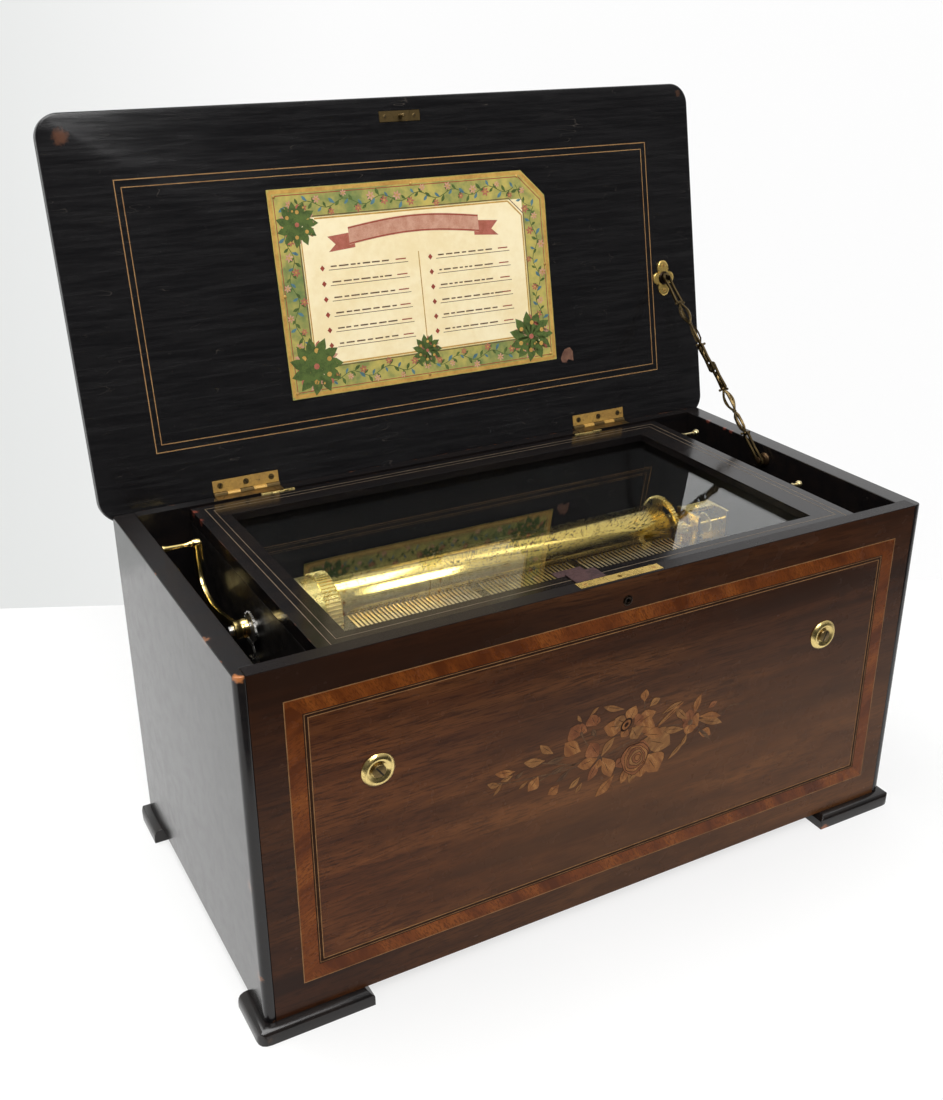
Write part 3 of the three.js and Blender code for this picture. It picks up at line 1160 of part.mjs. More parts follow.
function bellows() {
  const { width, height, board, fold, folds } = BELLOWS;
  const x0 = chestMiddle - width / 2;
  const y0 = combBack;
  const depth = backInside - BELLOWS.backMargin - y0;
  const z0 = BOTTOM_THICKNESS;
  const boards = [z0, z0 + height - board].map((z) =>
    block(x0, x0 + width, y0, y0 + depth, z, z + board));
  const step = (height - 2 * board) / folds / 2;
  const outline = (side, inset) => {
    const edge = [];
    for (let i = 0; i <= 2 * folds; i++)
      edge.push([side - Math.sign(side - inset) * (i % 2 ? fold : 0), z0 + board + i * step]);
    return edge;
  };
  const alongX = outlineOf([...outline(x0, x0 + 1), ...outline(x0 + width, x0).reverse()]);
  const alongY = outlineOf([...outline(y0, y0 + 1), ...outline(y0 + depth, y0).reverse()]);
  return join(...boards, common(slabY(alongX, y0, y0 + depth), slabX(alongY, x0, x0 + width)));
}

add("bellows", bellows(), LEATHER);

// Gear train and air brake at the right end
const pinionPitch = (PINION_TEETH * GREAT_WHEEL.module) / 2;
const trainDistance = (GREAT_WHEEL.teeth * GREAT_WHEEL.module) / 2 + pinionPitch;
const rise = THREE.MathUtils.degToRad(PINION_RISE);
const arborY = AXIS_Y - trainDistance * Math.cos(rise);
const arborZ = axisZ + trainDistance * Math.sin(rise);
const wheelPitch = (WORM_WHEEL.teeth * WORM.module) / 2;
const wormY = arborY + wheelPitch + WORM.path;
const governorFar = governorStart + GOVERNOR_PLATE + GOVERNOR_INNER;
const wormX = governorStart + GOVERNOR_PLATE + GOVERNOR_INNER / 2;
const governorFront = arborY - GOVERNOR_DEPTH.front;
const governorBack = arborY + GOVERNOR_DEPTH.back;
const topArm = arborZ + WORM.length / 2 + ARM_GAP;
const fanTop = arborZ - WORM_WHEEL.tip - FAN.gap;
const fanBottom = fanTop - FAN.height;
const bottomArm = fanBottom - ARM_GAP - GOVERNOR_ARM;

function governorFrame() {
  const plates = [governorStart, governorFar].map((x) =>
    block(x, x + GOVERNOR_PLATE, governorFront, governorBack, bedTop, topArm + GOVERNOR_ARM));
  const right = governorFar + GOVERNOR_PLATE;
  const floor = block(governorStart, right, governorFront, governorBack, bedTop,
    bedTop + GOVERNOR_ARM);
  const halfArm = GOVERNOR_ARM_WIDTH / 2;
  const arms = [topArm, bottomArm].map((z) =>
    block(governorStart, right, wormY - halfArm, wormY + halfArm, z, z + GOVERNOR_ARM));
  const jewel = rod("z", ENDSTONE.radius, topArm + GOVERNOR_ARM / 2,
    topArm + GOVERNOR_ARM + ENDSTONE.height, [wormX, wormY], 10);
  const bore = PIVOT_RADIUS + RUN;
  const wormBore = rod("z", bore, bottomArm - OVERRUN, topArm + GOVERNOR_ARM / 2,
    [wormX, wormY], 10);
  const shaftHole = rod("x", bore, governorStart - OVERRUN, right + OVERRUN, [arborY, arborZ], 10);
  return cut(join(...plates, floor, ...arms, jewel), wormBore, shaftHole);
}

const wheelTurn = group("governor_wheel_turn", caseGroup, [0, arborY, arborZ]);
const fanTurn = group("governor_fan_turn", caseGroup, [wormX, wormY, 0]);

function governorWheel() {
  const middle = (wheelStart + wheelEnd) / 2;
  const module = GREAT_WHEEL.module;
  const pinion = slabX(toothedShape(PINION_TEETH, pinionPitch + module * PINION_TIP_SHARE,
    pinionPitch - module * GEAR_ROOT_SHARE, PINION_ROOT_SHARE, TOOTH_TIP_SHARE,
    PINION_TURN_SHARE * Math.PI * 2), middle - PINION_WIDTH / 2, middle + PINION_WIDTH / 2);
  const wheel = slabX(toothedShape(WORM_WHEEL.teeth, WORM_WHEEL.tip, WORM_WHEEL.root,
    TOOTH_ROOT_SHARE, 0, WORM_WHEEL_TURN_SHARE * Math.PI * 2),
    wormX - WORM_WHEEL.width / 2, wormX + WORM_WHEEL.width / 2);
  const shaft = rod("x", PIVOT_RADIUS, middle - PINION_WIDTH / 2 - GAP,
    governorFar + GOVERNOR_PLATE, [0, 0], 6);
  return join(shaft, pinion, wheel);
}

function wormThread(start) {
  const lead = WORM.starts * WORM.module * Math.PI;
  const turns = WORM.thread / lead;
  const count = Math.round(turns * WORM.steps);
  const points = Array.from({ length: count + 1 }, (_, i) => {
    const angle = ((i / count) * turns + start / WORM.starts) * Math.PI * 2;
    return new THREE.Vector3(WORM.path * Math.cos(angle), WORM.path * Math.sin(angle),
      arborZ + WORM.thread * (i / count - 1 / 2));
  });
  return tube(points, WORM.wire, 3, count);
}

function governorFan() {
  const spindle = rod("z", PIVOT_RADIUS, bottomArm + GAP, topArm + GOVERNOR_ARM / 2 - GAP,
    [0, 0], 6);
  const body = rod("z", WORM.root, arborZ - WORM.length / 2, arborZ + WORM.length / 2, [0, 0], 8);
  const wings = block(-FAN.radius, FAN.radius, -FAN.thickness / 2, FAN.thickness / 2, fanBottom,
    fanTop);
  const threads = Array.from({ length: WORM.starts }, (_, i) => wormThread(i));
  return join(spindle, body, wings, ...threads);
}

add("governor_frame", governorFrame(), BRASS);
add("governor_wheel", governorWheel(), BRASS, wheelTurn);
add("governor_fan", governorFan(), STEEL, fanTurn);

// Winding shaft and lever in the left well
const arborTurn = group("winding_arbor_turn", caseGroup, onAxis(0));
const leverTurn = group("winding_lever_turn", caseGroup, onAxis(0));
const ratchetRight = -wellHalf - RATCHET.fromPartition;
const ratchetLeft = ratchetRight - RATCHET.width;
const hubRight = ratchetLeft - LEVER_HUB.fromRatchet;
const hubLeft = hubRight - LEVER_HUB.length;
const armLeft = (hubLeft + hubRight - LEVER_THICKNESS) / 2;
const windingArbor = join(rod("x", SHAFT_RADIUS, hubLeft - ARBOR_END, shaftSplit, [0, 0], 16),
  slabX(sawShape(RATCHET), ratchetLeft, ratchetRight));
add("winding_arbor", windingArbor, STEEL, arborTurn);

function leverArm() {
  const path = new THREE.CatmullRomCurve3(LEVER_PATH_SHARES.map(([back, up]) =>
    new THREE.Vector3(back * LEVER_REACH.back, up * LEVER_REACH.up, 0)));
  const outer = [];
  const inner = [];
  for (let i = 0; i <= LEVER_STEPS; i++) {
    const share = i / LEVER_STEPS;
    const point = path.getPointAt(share);
    const along = path.getTangentAt(share);
    const half = THREE.MathUtils.lerp(LEVER_WIDTH.hub, LEVER_WIDTH.collar, share) / 2;
    outer.push([point.x - along.y * half, point.y + along.x * half]);
    inner.push([point.x + along.y * half, point.y - along.x * half]);
  }
  return slabX(outlineOf([...inner, ...outer.reverse()]), armLeft, armLeft + LEVER_THICKNESS);
}

function windingLever() {
  const hub = rod("x", LEVER_HUB.radius, hubLeft, hubRight, [0, 0], 20);
  const { back, up } = LEVER_REACH;
  const collar = rod("x", COLLAR.radius, armLeft - COLLAR.beyond, armLeft - COLLAR.beyond
    + COLLAR.length, [back, up], 12);
  const spike = rod("z", SPIKE.radius, LEVER_HUB.radius / 2, SPIKE.height,
    [hubRight - 2 * SPIKE.radius, 0], 6);
  const pawlOut = RATCHET.tip + 2 * GAP;
  const web = block(hubRight - PAWL.web, hubRight, 0, pawlOut + PAWL.thickness,
    -PAWL.width / 2, PAWL.width / 2);
  const finger = block(hubRight - PAWL.web, ratchetRight, pawlOut, pawlOut + PAWL.thickness,
    -PAWL.width / 2, PAWL.width / 2);
  const bore = rod("x", SHAFT_RADIUS + GAP, hubLeft - OVERRUN, hubRight + OVERRUN, [0, 0], 16);
  return cut(join(hub, leverArm(), collar, spike, web, finger), bore);
}

const gripProfile = [
  [0, 0], [GRIP.base, 0], [GRIP.neck, GRIP.length * GRIP.neckShare],
  [GRIP.middle, GRIP.length * GRIP.middleShare], [GRIP.flare, GRIP.length * GRIP.flareShare],
  [GRIP.flare * GRIP.endShare, GRIP.length], [0, GRIP.length],
];
add("winding_lever", windingLever(), BRASS, leverTurn);
add("winding_grip", turned(gripProfile, "x", 12).rotateZ(Math.PI), BRASS, leverTurn,
  [armLeft - COLLAR.beyond, LEVER_REACH.back, LEVER_REACH.up]);

function ratchetClick() {
  const { pivot, arm, thickness, out } = CLICK;
  const reach = RATCHET.tip + 2 * GAP;
  const stud = rod("x", pivot, ratchetLeft, -wellHalf, [out, -reach - pivot], 10);
  const lever = slabX(outlineOf([
    [out, -reach - 2 * pivot], [out + pivot, -reach], [0, -reach],
    [-thickness, -reach - thickness / 2], [0, -reach - 2 * thickness],
  ]), ratchetLeft, ratchetRight);
  const spring = tube([
    new THREE.Vector3(ratchetRight - thickness / 2, 0, -reach - thickness),
    new THREE.Vector3(ratchetRight - thickness / 2, -arm / 2, -reach - arm),
    new THREE.Vector3(ratchetRight - thickness / 2, arm / 2, -reach - 2 * arm),
  ], WIRE_RADIUS, 4, 6);
  const foot = block(ratchetRight - thickness, -wellHalf, arm / 2 - 2 * pivot, arm / 2 + 2 * pivot,
    -reach - 2 * arm - pivot, -reach - 2 * arm + pivot);
  return join(stud, lever, spring, foot);
}

add("ratchet_click", ratchetClick(), STEEL, caseGroup, onAxis(0));

// Control levers in the right well
function controlLever({ reach, ball: ballRadius }) {
  const ballZ = controlBallTop - ballRadius - controlPivotZ;
  const half = CONTROL_WIDTH / 2;
  const left = CONTROL_GAP;
  const right = left + CONTROL_THICKNESS;
  const shape = new THREE.Shape();
  shape.moveTo(-half, 0);
  shape.absarc(0, 0, half, Math.PI, Math.PI * 2);
  shape.lineTo(half / 2, ballZ + CONTROL_STEM);
  shape.lineTo(-half / 2, ballZ + CONTROL_STEM);
  const arm = slabX(shape, left, right, 6);
  const axle = rod("x", CONTROL_AXLE, -CONTROL_AXLE_LENGTH, left, [0, 0], 10);
  const stem = rod("x", CONTROL_STEM, left, reach, [0, ballZ], 8);
  return join(arm, axle, stem, ball(ballRadius, reach, 0, ballZ, 8, 6));
}

for (const [name, control] of Object.entries(CONTROLS)) {
  const turn = group(`${name}_lever_turn`, caseGroup, [wellHalf, controlY(control), controlPivotZ]);
  add(`${name}_lever`, controlLever(control), BRASS, turn);
}

export default product;
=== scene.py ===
"""Looks of a lever-wound cylinder music box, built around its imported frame."""

import json
import logging
import math
import random
from dataclasses import dataclass
from enum import Enum
from typing import Sequence

import bmesh
import bpy
from mathutils import Matrix, Vector

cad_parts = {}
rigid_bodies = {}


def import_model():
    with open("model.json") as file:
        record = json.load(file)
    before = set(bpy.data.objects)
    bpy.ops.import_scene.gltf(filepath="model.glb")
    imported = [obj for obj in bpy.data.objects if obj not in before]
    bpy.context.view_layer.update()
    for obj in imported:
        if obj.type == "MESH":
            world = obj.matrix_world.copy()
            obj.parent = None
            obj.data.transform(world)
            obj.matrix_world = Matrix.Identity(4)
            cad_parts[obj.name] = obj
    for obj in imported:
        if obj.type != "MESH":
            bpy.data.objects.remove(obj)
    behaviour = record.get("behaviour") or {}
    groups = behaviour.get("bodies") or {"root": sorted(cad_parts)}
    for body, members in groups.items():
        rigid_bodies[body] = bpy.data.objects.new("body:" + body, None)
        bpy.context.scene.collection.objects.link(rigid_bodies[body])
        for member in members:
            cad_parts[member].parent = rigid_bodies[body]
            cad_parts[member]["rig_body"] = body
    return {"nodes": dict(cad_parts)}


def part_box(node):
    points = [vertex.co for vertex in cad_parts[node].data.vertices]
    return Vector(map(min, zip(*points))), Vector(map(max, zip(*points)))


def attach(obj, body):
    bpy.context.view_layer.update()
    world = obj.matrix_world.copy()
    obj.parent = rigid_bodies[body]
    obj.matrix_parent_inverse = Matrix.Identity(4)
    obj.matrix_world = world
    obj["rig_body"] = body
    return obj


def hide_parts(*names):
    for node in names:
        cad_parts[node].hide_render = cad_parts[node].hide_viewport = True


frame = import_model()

log = logging.getLogger("music_box")

MM = 0.001
CASE_ORIGIN = Vector((0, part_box("front_board")[0].y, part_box("front_board")[0].z))
SEED = 41

# The case, in millimetres from the middle of its front lower edge
CASE_HALF = 300
CASE_DEPTH = 304
CASE_HEIGHT = 287
RIM_FRAME_TOP = 285.4
HINGE_Y = 305.8
HINGE_Z = 287.4
LID_LEAN = math.radians(10.8)
LID_HALF = 308.6
LID_REACH = 315
LID_OVERHANG = 8
LID_CORNER = 19
BEDPLATE_TOP = 193
SCREW_X = 204
SCREW_Z = 188
AXIS_Y = 138.5
AXIS_Z = 246.3

SIDES = ("left", "right")
ENDS = ("front", "back")
QUAD = ((-1, -1), (1, -1), (1, 1), (-1, 1))

Colour = tuple[float, float, float]
Place = tuple[float, float, float]
Pair = tuple[float, float]
Box = tuple[float, float, float, float]
Points = Sequence[Vector]
Node = bpy.types.Node
Socket = bpy.types.NodeSocket


def to_frame(point: Sequence[float]) -> Vector:
    """A place in the case's millimetres as a place in the frame's metres."""
    return CASE_ORIGIN + Vector(point) * MM


def turns(count: int) -> list[float]:
    """Angles once round."""
    return [i * math.tau / count for i in range(count)]


class Graph:
    """Makes one tree's nodes, each with its settings and inputs in one call."""

    def __init__(self, tree: bpy.types.NodeTree) -> None:
        """Keeps the tree that the nodes go into."""
        self.tree = tree

    def add(self, kind: str, inputs: dict | None = None, **settings: object) -> Node:
        """Adds a node.

        Args:
            kind: The node's type, without the words that every shader node's type starts with.
            inputs: A value, a node or a socket for each input that isn't left as it is.
            settings: The node's own properties.

        Returns:
            The new node.
        """
        full = kind if kind.startswith("Node") else f"ShaderNode{kind}"
        node = self.tree.nodes.new(full)
        for name, value in settings.items():
            setattr(node, name, value)
        self.feed_all(node, inputs or {})
        return node

    def feed(self, node: Node, socket: str | int, value: object) -> None:
        """Gives an input a constant, or links it to a node or socket."""
        target = node.inputs[socket]
        if isinstance(value, Node):
            self.tree.links.new(value.outputs[0], target)
        elif isinstance(value, Socket):
            self.tree.links.new(value, target)
        elif target.type == "RGBA" and len(value) == 3:
            target.default_value = (*value, 1)
        else:
            target.default_value = value

    def feed_all(self, node: Node, inputs: dict) -> None:
        """Feeds several inputs of a node."""
        for socket, value in inputs.items():
            self.feed(node, socket, value)

    def math(self, operation: str, *values: object) -> Node:
        """Adds a Math node whose inputs are taken in order."""
        return self.add("Math", dict(enumerate(values)), operation=operation)

    def times(self, first: object, second: object) -> Node:
        """Multiplies two values."""
        return self.math("MULTIPLY", first, second)

    def vector(self, operation: str, *values: object) -> Node:
        """Adds a Vector Math node whose inputs are taken in order."""
        return self.add("VectorMath", dict(enumerate(values)), operation=operation)

    def noise(self, vector: object, scale: object, detail: float = 3,
              roughness: float = 0.55, distortion: float = 0) -> Socket:
        """The value of a noise texture, from 0 to 1."""
        inputs = {"Vector": vector, "Scale": scale, "Detail": detail, "Roughness": roughness,
                  "Distortion": distortion}
        return self.add("TexNoise", inputs).outputs["Fac"]

    def smooth(self, value: object, low: object, high: object,
               start: float = 0, end: float = 1) -> Socket:
        """A soft step.

        Args:
            value: What the step follows.
            low: The value at which the step starts.
            high: The value at which it ends.
            start: The result up to the start.
            end: The result from the end on.

        Returns:
            The result's socket.
        """
        inputs = {"Value": value, "From Min": low, "From Max": high, "To Min": start,
                  "To Max": end}
        made = self.add("MapRange", inputs, interpolation_type="SMOOTHSTEP")
        return made.outputs["Result"]

    def mix(self, share: object, first: object, second: object,
            mode: str = "MIX") -> Socket:
        """Mixes two colours.

        Args:
            share: How much of the second shows.
            first: The colour at a share of 0.
            second: The colour at a share of 1.
            mode: How they are blended.

        Returns:
            The mixed colour's socket.
        """
        made = self.add("Mix", data_type="RGBA", blend_type=mode)
        self.feed_all(made, {0: share, 6: first, 7: second})
        return made.outputs[2]

    def object_place(self) -> Socket:
        """The place on the piece, in metres of the frame."""
        return self.add("TexCoord").outputs["Object"]


def emptied(owner: bpy.types.Material | bpy.types.World) -> Graph:
    """The nodes of a material or a world, of which none are left."""
    owner.use_nodes = True
    owner.node_tree.nodes.clear()
    return Graph(owner.node_tree)


VECTOR_INPUTS = ("Vector", "Stretch", "Centre", "Low", "High")
POLISH_DEPTH = 0.00001
# The margin's dark tone, which grows towards the left end as painted shade
MARGIN_BROWN_AND_SHADE = (0.012, 0.0060, 0.0036)
# The colour of the painted light on the front's lower right
PAINTED_LIGHT_BROWN = (0.125, 0.052, 0.018)
SMOKE_BROWN = (0.022, 0.0085, 0.0035)
RIM_BLACK = (0.011, 0.009, 0.009)


class Effect(Enum):
    """The effects that more than one finish uses."""

    GRAIN = "wood_grain"
    SCRATCHES = "fine_scratches"
    MOTTLE = "mottled_film"
    SPOT = "worn_spot"
    EDGES = "worn_edges"

    def group(self) -> bpy.types.NodeTree:
        """The effect's node group, made the first time that it is asked for."""
        made = bpy.data.node_groups.get(self.value)
        if made is not None:
            return made
        made = bpy.data.node_groups.new(self.value, "ShaderNodeTree")
        inputs, outputs, fill = EFFECT_PARTS[self]
        for name in inputs.split():
            kind = "NodeSocketVector" if name in VECTOR_INPUTS else "NodeSocketFloat"
            made.interface.new_socket(name, in_out="INPUT", socket_type=kind)
        for name in outputs.split():
            made.interface.new_socket(name, in_out="OUTPUT", socket_type="NodeSocketFloat")
        graph = Graph(made)
        entry = graph.add("NodeGroupInput")
        given = {name: entry.outputs[name] for name in inputs.split()}
        graph.add("NodeGroupOutput", fill(graph, given))
        return made

    def place(self, graph: Graph, vector: object, **values: object) -> Node:
        """Puts the effect into a material.

        Args:
            graph: The material's nodes.
            vector: The place on the piece.
            values: What feeds each other input, by the input's name in small letters.

        Returns:
            The group's node.
        """
        inputs = {name.capitalize(): value for name, value in values.items()}
        return graph.add("Group", {"Vector": vector, **inputs}, node_tree=self.group())


def fill_grain(graph: Graph, given: dict) -> dict:
    """Wood figure in broad waves and fine fibres, drawn out along the stretch.

    Args:
        graph: The group's nodes.
        given: The group's inputs by name.

    Returns:
        What feeds each output.
    """
    drawn = graph.vector("MULTIPLY", given["Vector"], given["Stretch"])
    warp = graph.add("TexNoise", {"Vector": drawn, "Scale": 6.0, "Detail": 2.0})
    shift = graph.vector("SUBTRACT", warp.outputs["Color"], (0.5, 0.5, 0.5))
    bend = graph.add("VectorMath", {0: shift, "Scale": given["Waviness"]}, operation="SCALE")
    bent = graph.vector("ADD", drawn, bend)
    figure = graph.noise(bent, given["Scale"], 3, 0.5, 0.4)
    fine = graph.times(given["Scale"], 18.0)
    fibre = graph.noise(bent, fine, 6, 0.72)
    return {"Figure": figure, "Fibre": fibre}


def fill_scratches(graph: Graph, given: dict) -> dict:
    """Long hair scratches that come and go.

    Args:
        graph: The group's nodes.
        given: The group's inputs by name.

    Returns:
        What feeds each output.
    """
    turned = graph.add("Mapping", {"Vector": given["Vector"], "Rotation": (0.5, 0.35, 0.8),
                                   "Scale": (1, 6, 6)})
    lines = graph.noise(turned, given["Scale"], 1, 0.4)
    offset = graph.math("ABSOLUTE", graph.math("SUBTRACT", lines, 0.5))
    line = graph.smooth(offset, 0.0, 0.006, 1, 0)
    patch = graph.noise(given["Vector"], graph.times(given["Scale"], 1.7), 2)
    gate = graph.smooth(patch, graph.math("SUBTRACT", 0.75, given["Amount"]), 0.78)
    return {"Mask": graph.times(line, gate)}


def fill_mottle(graph: Graph, given: dict) -> dict:
    """A cloudy film with small specks, as on metal that is handled or on old polish.

    Args:
        graph: The group's nodes.
        given: The group's inputs by name.

    Returns:
        What feeds each output.
    """
    cloud = graph.noise(given["Vector"], given["Scale"], 5, 0.65, 0.3)
    fine = graph.noise(given["Vector"], graph.times(given["Scale"], 7.0), 3, 0.6)
    both = graph.math("ADD", graph.times(cloud, 0.7), graph.times(fine, 0.3))
    return {"Mask": graph.smooth(both, 0.36, 0.66), "Speck": graph.smooth(fine, 0.62, 0.72)}


def fill_spot(graph: Graph, given: dict) -> dict:
    """A ragged spot round one place, where the finish has gone.

    Args:
        graph: The group's nodes.
        given: The group's inputs by name.

    Returns:
        What feeds each output.
    """
    away = graph.vector("SUBTRACT", given["Vector"], given["Centre"])
    far = graph.vector("LENGTH", away).outputs["Value"]
    share = graph.math("DIVIDE", far, given["Radius"])
    rough = graph.math("SUBTRACT", graph.noise(given["Vector"], 260.0, 4, 0.65), 0.5)
    edge = graph.math("ADD", share, graph.times(rough, given["Ragged"]))
    return {"Mask": graph.smooth(edge, 0.35, 1.0, 1, 0)}


def fill_edges(graph: Graph, given: dict) -> dict:
    """The edges of a board's box, broken up by noise.

    Args:
        graph: The group's nodes.
        given: The group's inputs by name.

    Returns:
        What feeds each output.
    """
    low = graph.vector("SUBTRACT", given["Vector"], given["Low"])
    high = graph.vector("SUBTRACT", given["High"], given["Vector"])
    near = graph.add("SeparateXYZ", {0: graph.vector("MINIMUM", low, high)})
    x, y, z = near.outputs
    pairs = [graph.math("MAXIMUM", a, b) for a, b in ((x, y), (y, z), (x, z))]
    close = graph.math("MINIMUM", graph.math("MINIMUM", pairs[0], pairs[1]), pairs[2])
    rough = graph.noise(given["Vector"], 90.0, 5, 0.7)
    reach = graph.times(given["Width"], graph.smooth(rough, 0.5, 0.72))
    share = graph.math("DIVIDE", close, graph.math("MAXIMUM", reach, 0.00001))
    return {"Mask": graph.smooth(share, 0.6, 1.0, 1, 0)}


# The inputs, the outputs and the maker of each effect's group
EFFECT_PARTS = {
    Effect.GRAIN: ("Vector Stretch Scale Waviness", "Figure Fibre", fill_grain),
    Effect.SCRATCHES: ("Vector Scale Amount", "Mask", fill_scratches),
    Effect.MOTTLE: ("Vector Scale", "Mask Speck", fill_mottle),
    Effect.SPOT: ("Vector Centre Radius Ragged", "Mask", fill_spot),
    Effect.EDGES: ("Vector Low High Width", "Mask", fill_edges),
}


@dataclass(frozen=True)
class Finish:
    """A surface finish with its name and the record's material slot."""

    name: str
    slot: str

    def material(self) -> bpy.types.Material:
        """The finish's material, made the first time that it is asked for."""
        made = bpy.data.materials.get(self.name)
        if made is not None:
            return made
        made = bpy.data.materials.new(self.name)
        graph = emptied(made)
        shader = graph.add("BsdfPrincipled")
        self.surface(graph, shader)
        self.dress(graph, shader)
        return made

    def surface(self, graph: Graph, shader: Node) -> None:
        """Links the shader to the material's output."""
        graph.add("OutputMaterial", {"Surface": shader})

    def dress(self, graph: Graph, shader: Node) -> None:
        """Sets the shader's inputs; each kind of finish has its own."""
        raise NotImplementedError


def bump(graph: Graph, shader: Node, height: object, depth: float, strength: float) -> None:
    """Gives the shader a bump of that depth in metres."""
    made = graph.add("Bump", {"Height": height, "Distance": depth, "Strength": strength})
    graph.feed(shader, "Normal", made)


@dataclass(frozen=True)
class Wear:
    """One worn place: where it is in the case's millimetres, how far it goes and its colour."""

    centre: Place
    radius: float
    colour: Colour
    ragged: float


@dataclass(frozen=True)
class EbonisedFinish(Finish):
    """Black polished wood, with a brown cast, hair scratches and worn places; on the lid the cast
    is grey streaks of painted sheen.
    """

    colour: Colour = (0.0050, 0.0046, 0.0050)
    cast_and_painted_sheen: Colour = (0.0095, 0.0070, 0.0062)
    under: Colour = (0.14, 0.05, 0.022)
    sheen: Pair = (0.15, 0.21)
    scratches: float = 0.15
    streak: Place = (0.5, 3, 3)
    low: Place | None = None
    high: Place | None = None
    edge: float = 2.5
    gloss: float = 0.42
    wears: tuple[Wear, ...] = ()

    def dress(self, graph: Graph, shader: Node) -> None:
        """Colour, scratches, worn edges and worn spots in turn."""
        place = graph.object_place()
        drawn = graph.vector("MULTIPLY", place, self.streak)
        grain = Effect.GRAIN.place(graph, place, stretch=(1.2, 5, 5), scale=9.0,
                                   waviness=0.05)
        film = Effect.MOTTLE.place(graph, drawn, scale=30.0)
        hair = Effect.SCRATCHES.place(graph, place, scale=26.0, amount=self.scratches)
        # The cast's mottle; on the lid it is grey streaks of painted sheen.
        colour = graph.mix(film, self.colour, self.cast_and_painted_sheen)
        colour = graph.mix(graph.times(hair, 0.45), colour, (0.13, 0.11, 0.09))
        if self.low is not None:
            worn = Effect.EDGES.place(graph, place, low=to_frame(self.low),
                                      high=to_frame(self.high), width=self.edge * MM)
            colour = graph.mix(worn, colour, self.under)
        for wear in self.wears:
            spot = Effect.SPOT.place(graph, place, centre=to_frame(wear.centre),
                                     radius=wear.radius * MM, ragged=wear.ragged)
            colour = graph.mix(spot, colour, wear.colour)
        rough = graph.smooth(film, 0, 1, *self.sheen)
        graph.feed_all(shader, {"Base Color": colour, "Roughness": rough,
                                "Specular IOR Level": self.gloss})
        height = graph.math("ADD", grain.outputs["Fibre"], graph.times(hair, -0.6))
        bump(graph, shader, height, POLISH_DEPTH, 0.7)


